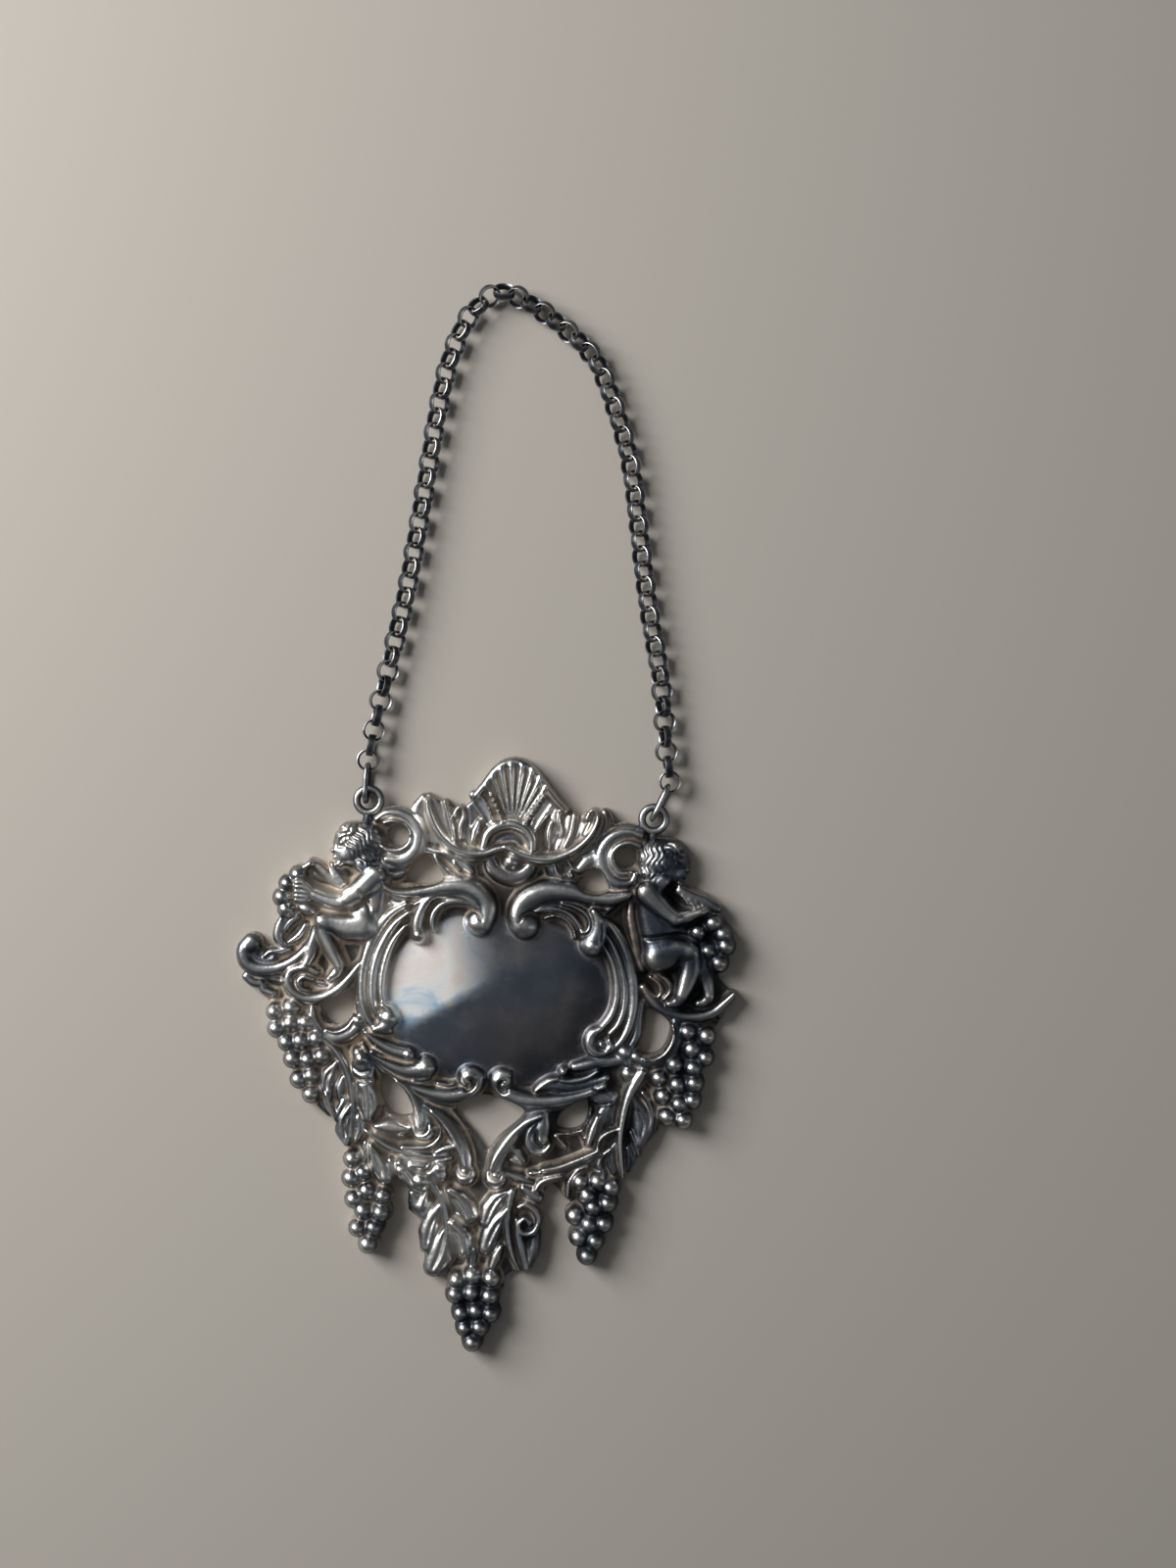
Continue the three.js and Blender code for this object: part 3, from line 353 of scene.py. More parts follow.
LOWER = [
    # left stroke of the V, ending in a ball
    ([(-8.6, -15.2), (-6.6, -16.5), (-4.9, -18.2), (-3.7, -20.0), (-2.9, -21.8), (-2.7, -23.4)],
     (0.4, 0.8, 0.95, 1.0, 0.95, 0.8), 3.0),
    ([(-7.6, -15.9), (-5.8, -17.4), (-4.5, -19.1), (-3.6, -20.9), (-3.1, -22.7)],
     (0.16, 0.26, 0.3, 0.28, 0.18), 3.4),
    # right stroke of the V
    ([(7.2, -15.2), (5.2, -16.1), (3.6, -17.6), (2.3, -19.4), (1.3, -21.3), (0.9, -23.2)],
     (0.4, 0.8, 1.0, 1.05, 1.05, 0.9), 3.0),
    ([(6.6, -15.5), (4.6, -16.6), (3.1, -18.1), (1.9, -19.8), (0.9, -21.6), (0.5, -23.0)],
     (0.3, 0.6, 0.7, 0.66, 0.55, 0.3), 3.4),
    # left drop with its rib
    ([(-11.9, -12.6), (-10.3, -14.0), (-9.2, -15.8), (-8.6, -17.6), (-8.5, -18.3)],
     (0.35, 0.65, 1.0, 1.3, 1.45), 3.1),
    ([(-12.4, -12.2), (-10.8, -13.3), (-9.8, -14.8), (-9.2, -16.4), (-8.9, -17.8)],
     (0.2, 0.36, 0.42, 0.42, 0.3), 3.5),
    ([(-6.3, -18.0), (-6.5, -19.4), (-7.6, -20.5), (-9.2, -20.9), (-11.2, -20.8)],
     (0.2, 0.32, 0.34, 0.32, 0.2), 2.6),
    # right drop
    ([(7.0, -15.4), (6.9, -16.8), (6.5, -18.0), (6.4, -18.7)], (0.6, 0.95, 1.3, 1.6), 3.0),
    ([(5.9, -16.6), (5.1, -17.8), (5.0, -19.2), (5.8, -20.3), (7.1, -20.3), (7.9, -19.3)],
     (0.3, 0.42, 0.46, 0.46, 0.42, 0.25), 2.9),
    # bright lens and the lines under it
    ([(-14.6, -18.3), (-13.4, -18.3), (-12.0, -18.4), (-10.8, -18.4)], (0.5, 1.2, 1.2, 0.6), 3.2),
    ([(-13.7, -16.0), (-12.8, -16.6), (-11.6, -16.7), (-10.5, -16.2)], (0.2, 0.28, 0.28, 0.2), 2.3),
    ([(-14.6, -19.0), (-13.0, -19.4), (-11.0, -19.3)], (0.18, 0.24, 0.18), 2.4),
    ([(-15.9, -19.0), (-14.4, -20.1), (-12.4, -21.1), (-10.0, -21.7), (-7.4, -21.8), (-5.2, -21.4)],
     (0.3, 0.48, 0.5, 0.5, 0.46, 0.3), 2.9),
    ([(-11.4, -22.4), (-9.2, -22.7), (-7.0, -22.6), (-4.8, -21.9)], (0.25, 0.42, 0.5, 0.3), 2.7),
    ([(-6.7, -21.2), (-5.7, -20.7), (-4.6, -20.4)], (0.4, 0.58, 0.42), 2.9),
    # right branch of two strands
    ([(7.2, -22.6), (9.2, -22.1), (11.0, -21.3), (13.0, -20.3), (14.2, -19.6)],
     (0.34, 0.36, 0.36, 0.36, 0.25), 3.0),
    ([(5.6, -23.2), (8.0, -22.9), (10.4, -22.2), (12.6, -21.1), (14.4, -20.2)],
     (0.3, 0.5, 0.5, 0.5, 0.3), 2.5),
    ([(14.0, -19.4), (14.3, -18.2), (15.2, -17.3), (16.5, -16.7)], (0.2, 0.3, 0.3, 0.2), 2.8),
    ([(6.4, -25.3), (7.0, -24.3), (8.2, -23.7), (9.6, -23.3)], (0.3, 0.4, 0.4, 0.3), 2.7),
    ([(3.0, -20.2), (3.7, -20.6), (4.6, -21.6)], (0.4, 0.62, 0.4), 2.5),
    ([(3.0, -21.6), (3.8, -21.9), (4.3, -22.2)], (0.3, 0.42, 0.3), 2.4),
    ([(8.4, -18.1), (9.2, -18.7), (9.9, -19.4)], (0.16, 0.28, 0.2), 2.6),
    ([(8.6, -17.9), (10.2, -17.7), (11.7, -17.3)], (0.16, 0.22, 0.16), 2.5),
    ([(12.9, -14.3), (12.6, -15.8), (11.9, -17.1), (12.3, -18.4)], (0.16, 0.2, 0.2, 0.16), 2.6),
    # columns from the side scrolls down, left and right
    ([(-17.5, -9.0), (-17.0, -9.9), (-16.7, -11.0), (-16.3, -12.2)], (0.9, 1.7, 1.9, 1.3), 3.5),
    ([(-16.5, -13.1), (-16.2, -14.4), (-15.9, -15.9), (-15.8, -17.2)], (1.15, 1.4, 1.35, 0.7), 3.3),
    ([(-16.6, -12.9), (-16.9, -14.6), (-17.0, -16.4)], (0.3, 0.4, 0.25), 2.4),
    ([(13.0, -12.2), (13.9, -12.6), (14.9, -13.0)], (0.8, 1.35, 1.2), 2.8),
    ([(14.6, -14.2), (14.1, -15.8), (13.5, -17.4), (12.9, -18.8)], (0.8, 1.0, 1.0, 0.6), 2.8),
    ([(13.8, -15.2), (13.3, -16.9), (12.8, -18.8)], (0.4, 0.7, 0.45), 3.6),
    ([(2.6, -23.4), (4.4, -24.0), (6.0, -24.4)], (0.39, 0.9, 0.52), 2.4, "soft"),
]
STEMS = [
    ([(-22.2, -7.6), (-20.6, -8.9), (-19.2, -10.8), (-18.3, -13.2), (-17.9, -15.8), (-17.8, -18.0),
      (-17.8, -20.0)], (0.29, 0.52, 0.57, 0.57, 0.48, 0.34, 0.17), 2.9),
    ([(19.2, -9.2), (18.4, -10.6), (17.6, -12.6), (17.1, -15.0), (16.9, -17.6), (17.1, -20.2),
      (17.6, -23.0)], (0.69, 0.75, 0.57, 0.48, 0.41, 0.34, 0.17), 2.9),
    ([(-8.4, -24.2), (-7.0, -25.4), (-5.7, -27.2), (-4.9, -29.6), (-4.6, -32.0), (-4.9, -34.2),
      (-5.7, -36.2)], (0.34, 0.52, 0.55, 0.52, 0.44, 0.32, 0.14), 2.8),
    ([(3.4, -25.6), (3.1, -27.6), (3.0, -29.6), (3.3, -31.8), (4.0, -34.0), (5.0, -35.9)],
     (0.57, 0.52, 0.48, 0.44, 0.34, 0.17), 2.8),
    ([(-16.2, -21.0), (-15.8, -22.0), (-15.4, -23.2)], (0.34, 0.46, 0.23), 2.3),
    ([(10.6, -25.9), (10.7, -24.0), (11.6, -22.5), (13.0, -21.8)],
     (0.34, 0.46, 0.4, 0.29), 2.6, "ridge"),
]
LEAVES = [
    # beside the left stem
    ([(-17.4, -16.4), (-16.8, -17.4), (-16.4, -18.8)], (0.3, 0.6, 0.3), 2.6),
    ([(-20.4, -10.6), (-21.2, -12.2), (-21.4, -13.8), (-21.0, -15.0)], (0.5, 1.1, 1.15, 0.5), 2.6),
    ([(-19.4, -12.4), (-19.7, -13.8), (-19.6, -15.2)], (0.4, 0.75, 0.4), 2.5),
    ([(-21.4, -14.6), (-20.8, -16.0), (-20.1, -17.4)], (0.3, 0.45, 0.3), 2.9),
    ([(-19.0, -15.2), (-19.5, -16.4), (-19.9, -17.8)], (0.35, 0.6, 0.4), 2.7),
    ([(-18.3, -16.0), (-18.8, -17.6), (-18.9, -19.2), (-18.4, -20.8)], (0.36, 1.0, 1.2, 0.5), 3.0),
    ([(-17.1, -17.4), (-16.8, -18.8), (-17.2, -20.4)], (0.36, 0.7, 0.4), 2.8),
    ([(-22.6, -14.4), (-22.0, -15.8), (-20.8, -17.0)], (0.58, 0.87, 0.72), 2.0),
    # beside the right stem
    ([(19.4, -11.8), (20.4, -13.2), (20.9, -15.0), (20.6, -16.8)],
     (0.43, 0.58, 0.58, 0.29), 2.5, "ridge"),
    ([(18.4, -12.8), (19.3, -14.4), (19.8, -16.4), (19.6, -18.4)], (0.43, 1.3, 1.45, 0.72), 2.4),
    ([(18.2, -17.0), (18.9, -18.4), (19.4, -20.0)], (0.29, 0.58, 0.36), 2.3, "ridge"),
    ([(18.0, -19.2), (18.4, -20.6), (18.2, -22.0)], (0.43, 0.72, 0.43), 2.1),
    ([(15.8, -12.4), (15.2, -14.2), (15.4, -16.0)], (0.58, 1.01, 0.58), 2.1),
    ([(15.8, -19.4), (14.8, -20.4), (14.4, -21.8), (15.2, -22.8)],
     (0.43, 0.72, 0.72, 0.43), 2.4, "ridge"),
    ([(16.4, -18.6), (15.8, -20.4), (16.4, -22.4)], (0.29, 0.72, 0.43), 2.2, "leaf"),
    # hanging leaf above the left bunch
    ([(-15.2, -20.7), (-14.5, -22.4), (-13.6, -23.9), (-13.1, -24.8)], (0.3, 0.95, 1.4, 1.15), 3.3),
    ([(-16.0, -20.6), (-15.7, -22.0), (-15.9, -23.2)], (0.35, 0.5, 0.3), 2.5),
    # oak leaf over the middle stem
    ([(-12.6, -22.6), (-11.8, -23.8), (-11.0, -24.9)], (0.3, 0.5, 0.35), 2.6),
    ([(-11.4, -22.9), (-10.4, -24.0), (-9.4, -25.0), (-8.6, -25.4)], (0.5, 0.9, 1.3, 1.45), 3.3),
    ([(-9.8, -23.0), (-8.8, -23.0), (-7.6, -23.2), (-6.6, -23.6), (-6.0, -24.2)],
     (0.4, 0.65, 0.9, 1.05, 0.9), 3.2),
    # leaves of the middle pendant, left
    ([(-9.4, -26.8), (-8.8, -28.0), (-7.8, -29.4)], (0.7, 1.45, 0.9), 2.6),
    ([(-7.6, -26.4), (-8.0, -27.6), (-8.2, -28.6)], (0.3, 0.45, 0.25), 2.9),
    ([(-5.9, -28.2), (-6.7, -29.8), (-7.1, -31.6), (-7.2, -33.6)], (0.5, 1.1, 1.35, 0.9), 2.7),
    ([(-4.9, -31.0), (-5.2, -32.8), (-5.6, -34.6), (-6.2, -36.2)],
     (0.3, 1.3, 1.9, 1.3), 2.7, "leaf"),
    ([(-4.7, -26.0), (-3.7, -27.0), (-2.7, -28.2), (-1.9, -29.2)], (0.5, 1.3, 1.5, 1.1), 3.1),
    ([(-4.0, -30.2), (-3.3, -31.2), (-2.7, -32.4), (-2.4, -33.6)], (0.6, 1.3, 1.5, 1.1), 3.2),
    ([(-1.0, -33.4), (-1.2, -34.6), (-1.2, -35.6)], (0.3, 0.6, 0.45), 2.4),
    # and right
    ([(2.7, -25.9), (1.6, -26.8), (0.8, -28.2), (0.3, -29.8)], (0.4, 1.1, 1.3, 0.9), 2.7, "leaf"),
    ([(2.7, -28.2), (1.8, -29.8), (1.0, -31.6), (0.4, -33.2)], (0.35, 1.1, 1.35, 1.0), 2.9),
    ([(2.4, -32.9), (1.9, -34.2), (1.4, -35.6)], (0.4, 0.75, 0.45), 2.7),
    ([(4.8, -25.2), (5.8, -25.8), (6.8, -26.4)], (0.5, 1.0, 0.7), 2.4),
    ([(4.3, -27.6), (5.3, -27.2), (6.5, -27.9), (7.1, -29.2), (6.5, -30.7), (5.2, -31.0),
      (4.5, -30.0), (5.2, -29.0), (5.9, -29.5)],
     (0.3, 0.4, 0.45, 0.45, 0.45, 0.4, 0.36, 0.32, 0.25), 2.8),
    ([(4.2, -29.2), (4.6, -31.4), (5.2, -33.4), (5.8, -35.6)], (0.3, 0.5, 0.6, 0.4), 2.7),
    ([(6.8, -31.2), (6.7, -33.0), (6.3, -35.2)], (0.6, 0.8, 0.4), 2.4),
]
HOOK = [
    # hooked scroll at the left edge
    ([(-32.4, 4.2), (-33.2, 3.2), (-33.0, 1.8), (-31.8, 1.0), (-30.0, 0.9), (-28.2, 1.4),
      (-26.6, 2.4), (-25.0, 4.2), (-24.2, 6.2)],
     (1.26, 1.12, 1.05, 0.98, 0.84, 0.77, 0.7, 0.63, 0.42), 2.6),
    ([(-32.0, 3.4), (-31.6, 2.4), (-30.4, 2.0), (-29.4, 2.4)], (0.42, 0.7, 0.63, 0.42), 2.2),
    ([(-30.6, 2.6), (-30.0, 3.2), (-29.0, 3.4), (-27.4, 3.8)],
     (0.42, 0.63, 0.63, 0.35), 2.5, "ridge"),
    ([(-28.6, 7.8), (-29.0, 6.4), (-29.0, 5.0), (-28.2, 4.2)], (0.42, 0.7, 0.7, 0.42), 2.5),
    ([(-26.8, 8.0), (-27.8, 7.4), (-28.4, 6.2)], (0.49, 0.7, 0.42), 2.4, "leaf"),
    ([(-25.6, 7.0), (-26.4, 5.6), (-27.6, 4.6)], (0.42, 0.56, 0.35), 2.1, "ridge"),
    ([(-32.8, -0.2), (-31.8, -0.9), (-30.8, -1.0), (-30.4, -1.8), (-29.2, -2.2)],
     (0.63, 0.7, 0.63, 0.63, 0.49), 2.2),
    ([(-31.6, 0.0), (-30.0, -0.2), (-28.2, -0.6)], (0.56, 0.84, 0.56), 1.9, "soft"),
    # curl under the left foot, running on to the bracket
    ([(-23.8, 0.9), (-25.4, 1.5), (-26.9, 0.9), (-27.3, -0.5), (-26.5, -1.8), (-24.8, -2.5),
      (-22.6, -2.2), (-20.8, -1.0), (-19.4, 0.6), (-18.2, 2.4)],
     (0.42, 0.7, 0.77, 0.84, 0.84, 0.87, 0.84, 0.7, 0.63, 0.42), 2.9),
    ([(-24.2, 0.0), (-25.2, 0.3), (-25.9, -0.3), (-25.6, -1.2), (-24.6, -1.5)],
     (0.35, 0.49, 0.56, 0.49, 0.35), 2.7),
    ([(-23.6, -0.4), (-21.8, -0.6), (-20.4, 0.4)], (0.42, 0.56, 0.42), 2.0, "soft"),
    # ring scroll round the left side opening
    ([(-18.0, -2.6), (-17.5, -4.2), (-18.0, -5.8), (-19.4, -7.0), (-21.2, -7.4), (-22.8, -6.8),
      (-23.8, -5.4), (-24.0, -3.8)], (0.49, 0.77, 0.91, 0.91, 0.84, 0.7, 0.63, 0.42), 2.6),
    ([(-18.4, -4.4), (-19.2, -5.8), (-20.6, -6.6), (-22.0, -6.4)],
     (0.35, 0.56, 0.56, 0.28), 2.8, "ridge"),
    # shelf and tip at the right edge
    ([(18.6, 1.8), (19.6, 0.4), (21.4, -1.0), (23.6, -1.7), (26.0, -1.6), (28.0, -0.8), (29.4, 0.6),
      (30.4, 1.8)], (0.56, 0.77, 0.84, 0.84, 0.77, 0.7, 0.56, 0.28), 2.6),
    ([(19.8, -0.8), (21.6, -2.2), (23.8, -2.9), (26.2, -2.8)], (0.35, 0.56, 0.56, 0.35), 2.2),
    ([(28.8, -1.4), (29.2, -0.2), (30.4, 1.2)], (0.35, 0.42, 0.28), 2.3, "ridge"),
    ([(23.0, -2.4), (23.4, -4.2), (22.8, -6.0), (21.4, -7.3), (19.8, -7.8), (18.3, -7.3)],
     (0.6, 0.95, 1.1, 1.15, 1.1, 0.9), 2.8),
    ([(22.6, -2.8), (22.9, -4.4), (22.2, -6.1), (20.9, -7.2), (19.4, -7.4)],
     (0.25, 0.34, 0.36, 0.34, 0.25), 3.6),
    ([(18.6, -0.2), (18.3, -2.2), (18.2, -4.4), (17.6, -6.0)], (0.42, 0.56, 0.63, 0.56), 2.2),
    ([(16.2, -6.4), (16.8, -7.4), (17.2, -8.2)], (0.98, 1.12, 0.7), 2.6),
    ([(17.6, -9.0), (18.4, -9.4), (19.0, -10.0)], (0.7, 0.98, 0.56), 2.6, "soft"),
]
RING_SCROLLS = [
    # round the hole at the left
    ([(-17.2, 21.3), (-16.0, 22.1), (-14.2, 22.2), (-12.5, 21.3), (-11.6, 19.5), (-12.1, 17.4),
      (-13.6, 16.2), (-15.6, 16.2)], (0.42, 0.75, 0.95, 1.1, 1.2, 1.25, 1.1, 0.6), 3.1),
    ([(-16.2, 20.9), (-15.0, 21.2), (-13.7, 20.8), (-12.8, 19.6), (-12.9, 18.4), (-13.9, 17.5),
      (-15.4, 17.4), (-16.2, 17.8)], (0.28, 0.42, 0.46, 0.5, 0.6, 0.65, 0.6, 0.4), 3.3),
    ([(-17.2, 16.6), (-16.4, 15.6), (-15.0, 15.2), (-13.4, 15.6), (-12.4, 16.6)],
     (0.42, 0.6, 0.75, 0.65, 0.42), 2.7),
    ([(-17.4, 15.4), (-16.2, 14.4), (-14.6, 14.1), (-13.2, 14.6)], (0.35, 0.56, 0.63, 0.42), 2.3),
    ([(-12.4, 21.6), (-11.8, 20.6), (-10.8, 19.6)], (0.42, 0.63, 0.35), 2.4),
    # round the hole at the right
    ([(17.0, 21.4), (15.6, 21.8), (13.9, 21.3), (12.6, 20.0), (12.1, 18.2), (12.7, 16.2),
      (14.4, 15.0), (16.2, 15.3), (16.6, 16.4)],
     (0.5, 0.75, 0.95, 1.1, 1.2, 1.25, 1.15, 0.8, 0.42), 3.1),
    ([(16.9, 20.1), (15.6, 20.4), (14.3, 19.9), (13.4, 18.7), (13.6, 17.4), (14.7, 16.4),
      (15.8, 16.5)], (0.28, 0.42, 0.46, 0.5, 0.55, 0.55, 0.35), 3.3),
    ([(13.2, 22.0), (15.0, 22.3), (17.2, 22.1)], (0.42, 0.63, 0.49), 2.2),
    ([(13.4, 14.6), (15.0, 13.9), (16.2, 13.2), (17.0, 12.8)], (0.49, 0.77, 0.7, 0.42), 2.4),
]

# Fine lines cut into the raised work (below zero) or laid on it: points, width and depth
CUTS = [
    # curls of the scrolls
    ([(-4.9, 9.7), (-4.0, 10.3), (-3.1, 9.9), (-2.7, 9.1)], 0.16, -0.8),
    ([(4.5, 10.0), (3.5, 10.5), (2.5, 10.1), (2.0, 9.2)], 0.16, -0.8),
    ([(-3.9, -12.4), (-3.2, -12.8), (-2.5, -12.2), (-2.7, -11.4), (-3.3, -11.4)], 0.18, -1.2),
    ([(2.2, -12.4), (1.4, -12.8), (0.8, -12.1), (1.1, -11.4), (1.7, -11.4)], 0.18, -1.2),
    ([(-3.9, -22.8), (-3.4, -23.7), (-2.6, -23.7), (-2.1, -22.9)], 0.17, -0.9),
    ([(0.2, -23.0), (0.7, -24.0), (1.5, -24.0), (2.0, -23.4)], 0.17, -0.9),
    ([(-9.9, -17.9), (-9.2, -18.9), (-8.2, -18.5), (-8.0, -17.4)], 0.17, -0.9),
    ([(6.0, -17.4), (6.1, -18.8), (6.9, -19.5), (7.7, -19.0)], 0.17, -0.9),
    ([(12.6, 10.2), (12.9, 8.8), (12.8, 7.2)], 0.16, -0.5),
    ([(-11.6, 10.2), (-11.9, 8.6), (-11.7, 7.0)], 0.14, -0.5),
    ([(14.2, -5.4), (13.6, -4.9), (13.1, -5.6), (13.4, -6.4), (14.3, -6.6)], 0.18, -1.0),
    # bands on the columns and lobes
    ([(-18.0, -12.2), (-16.8, -12.6), (-15.4, -12.3)], 0.16, -0.8),
    ([(12.8, -13.4), (14.0, -13.8), (15.6, -13.2)], 0.14, -0.6),
    ([(13.0, -11.4), (13.6, -12.0), (14.8, -11.8)], 0.14, -0.5),
    ([(-16.2, -8.8), (-14.0, -9.4), (-11.8, -9.9), (-10.2, -9.9)], 0.15, -0.7),
    ([(-17.0, -13.6), (-16.6, -15.0), (-16.4, -16.6)], 0.12, -0.45),
    ([(-15.7, -13.5), (-15.2, -15.0), (-15.4, -16.6)], 0.12, -0.4),
    ([(-18.5, -10.5), (-17.2, -11.4), (-15.6, -11.0)], 0.13, -0.35),
    ([(-18.4, -16.8), (-18.8, -18.4), (-18.5, -20.2)], 0.15, -0.6),
    ([(-20.9, -11.4), (-21.5, -12.8), (-21.4, -14.4)], 0.14, -0.4),
    ([(18.9, -13.8), (19.7, -15.6), (19.6, -17.6)], 0.13, -0.4),
    # flutes of the leaves
    ([(-4.4, -26.6), (-3.2, -27.8), (-2.0, -29.6)], 0.14, -0.45),
    ([(-3.8, -30.8), (-2.9, -32.2), (-2.5, -34.0)], 0.14, -0.45),
    ([(2.2, -29.2), (1.3, -31.0), (0.6, -33.0)], 0.14, -0.4),
    ([(-6.2, -29.2), (-6.9, -31.2), (-7.2, -33.4)], 0.14, -0.4),
    ([(-11.8, -22.8), (-10.6, -24.0), (-9.4, -25.4)], 0.15, -0.5),
    ([(-7.0, -22.2), (-7.6, -23.4), (-8.4, -23.8)], 0.3, -0.9),
    ([(-14.9, -21.4), (-14.0, -23.0), (-13.4, -24.6)], 0.14, -0.45),
]

# Round bosses: place, radius and top height
BULBS = [
    ((-3.1, 8.7), 1.95, 3.6), ((2.8, 8.8), 2.05, 3.7), ((-10.8, 6.7), 1.15, 3.5),
    ((11.7, 6.8), 1.6, 3.8), ((-14.0, -4.3), 1.6, 3.5), ((-17.1, -9.7), 1.3, 3.8),
    ((13.4, -6.2), 1.5, 3.2), ((-3.0, -11.3), 1.75, 3.5), ((1.0, -11.4), 1.75, 3.5),
    ((-11.1, -8.8), 1.05, 3.3), ((-8.8, -10.4), 1.55, 3.5), ((9.0, -9.7), 0.75, 3.2),
    ((-2.8, -24.0), 1.55, 3.3), ((1.2, -24.1), 1.65, 3.3), ((-8.5, -18.3), 1.75, 3.4),
    ((6.6, -18.8), 1.45, 3.1), ((0.5, 16.9), 1.4, 3.5), ((-33.0, 3.6), 1.0, 2.7),
    ((5.9, -29.6), 0.6, 2.7), ((17.4, -9.5), 1.2, 2.9), ((-17.9, -4.9), 1.0, 3.0),
    ((1.0, -33.0), 1.0, 2.7), ((-8.3, -28.3), 1.5, 2.8), ((16.8, -6.8), 1.25, 3.0),
    ((-8.5, -25.0), 1.55, 3.7), ((-10.9, -23.6), 1.15, 3.4), ((-6.2, -23.2), 1.15, 3.4),
    ((14.6, 14.2), 0.5, 2.4), ((-0.6, -45.3), 1.45, 2.9),
]
GRAPES = [
    (-28.8, -4.5), (-26.7, -3.8), (-28.4, -6.6), (-26.6, -5.8), (-24.7, -5.6), (-27.0, -8.3),
    (-25.2, -8.0), (-23.2, -7.6), (-26.1, -10.4), (-24.1, -10.4), (-22.3, -9.8), (-25.1, -13.0),
    (-23.5, -12.4), (-23.4, -14.8), (-17.5, -22.8), (-17.5, -25.3), (-16.0, -24.5), (-17.0, -28.0),
    (-15.4, -26.8), (-15.7, -29.4), (-13.3, -27.4), (-13.4, -29.5), (-16.3, -31.7), (-14.2, -31.5),
    (-14.8, -33.7), (24.7, -3.6), (27.2, -4.0), (25.4, -5.8), (27.2, -6.8), (23.3, -7.9),
    (25.7, -8.2), (21.4, -9.8), (23.8, -10.5), (26.0, -10.2), (22.1, -12.1), (24.2, -13.0),
    (25.9, -12.4), (22.8, -14.7), (24.9, -15.0), (12.2, -23.9), (14.4, -23.7), (16.1, -24.4),
    (13.2, -25.6), (15.8, -26.4), (11.7, -28.3), (14.0, -27.0), (13.6, -29.3), (15.5, -29.1),
    (12.4, -31.0), (14.5, -31.4), (13.6, -33.4), (-3.0, -37.6), (-1.0, -36.9), (1.4, -37.1),
    (-3.1, -39.4), (-1.0, -39.1), (1.3, -39.4), (-2.2, -41.8), (-0.3, -41.4), (1.6, -41.7),
    (-1.6, -43.7), (0.3, -43.5), (-0.5, -45.5), (-28.2, 12.2), (-28.8, 10.4), (-28.2, 8.9),
    (-26.9, 13.4), (25.2, 9.4), (27.1, 10.7), (28.5, 9.3), (26.7, 7.0), (28.9, 7.8), (28.2, 5.6),
]

# Combed hair of the two children: middle of the patch, its half sizes along and across the locks,
# and which way they run, in degrees
LEFT_HAIR = [((-18.7, 18.0), (3.2, 2.5), -55), ((-21.3, 19.2), (1.7, 1.3), 38)]
RIGHT_HAIR = [((18.6, 18.3), (3.4, 2.2), -98), ((21.6, 19.7), (1.6, 1.2), -40)]

# The two children that hold the side bunches: soft limbs that melt into each other
LEFT_CHILD = [
    # ground that the far arm and far leg stand on
    ([(-21.4, 14.0), (-22.8, 13.6), (-24.6, 13.6)], (1.12, 1.23, 1.01), 1.7),
    # far leg and foot
    ([(-24.0, 6.4), (-24.3, 4.6), (-24.7, 3.0), (-25.3, 1.7)], (1.0, 1.0, 0.85, 0.7), 2.8),
    ([(-25.3, 1.4), (-26.1, 1.2), (-27.1, 1.1)], (0.75, 0.7, 0.5), 2.6),
    # drapery between the arms, and the far forearm behind it
    ([(-25.4, 15.2), (-24.0, 14.4), (-22.6, 13.2), (-21.4, 12.4)], (0.6, 0.85, 0.8, 0.5), 2.3),
    ([(-22.6, 15.0), (-22.0, 13.9), (-20.9, 12.8)], (0.5, 0.7, 0.5), 2.4),
    ([(-27.6, 12.9), (-26.6, 14.0), (-25.4, 15.0)], (0.5, 0.72, 0.5), 2.8),
    # body and seat
    ([(-16.4, 13.4), (-16.5, 11.6), (-16.9, 9.8), (-17.6, 8.2)], (1.4, 1.5, 1.8, 2.1), 3.0),
    ([(-18.2, 8.6), (-18.4, 7.6)], (2.2, 2.4), 3.3),
    # near leg
    ([(-18.3, 7.4), (-20.0, 7.2), (-21.8, 7.5), (-23.3, 7.8)], (2.3, 2.0, 1.6, 1.25), 3.8),
    ([(-23.2, 7.4), (-22.9, 6.0), (-22.2, 4.6), (-21.4, 3.2), (-20.7, 2.1)],
     (1.3, 1.25, 1.15, 1.0, 0.85), 3.7),
    ([(-20.7, 1.9), (-21.2, 1.1), (-22.0, 0.3)], (0.85, 0.85, 0.5), 3.3),
    # near arm
    ([(-16.8, 14.0), (-17.8, 12.9), (-19.0, 11.7), (-20.1, 10.9)], (1.7, 1.75, 1.55, 1.35), 4.1),
    ([(-20.1, 10.7), (-21.4, 10.2), (-23.0, 10.5), (-24.5, 11.1)], (1.35, 1.3, 1.15, 0.95), 3.9),
    # shoulder and neck
    ([(-17.0, 14.2), (-17.9, 14.8), (-18.8, 15.3)], (1.5, 1.34, 1.12), 3.5),
]
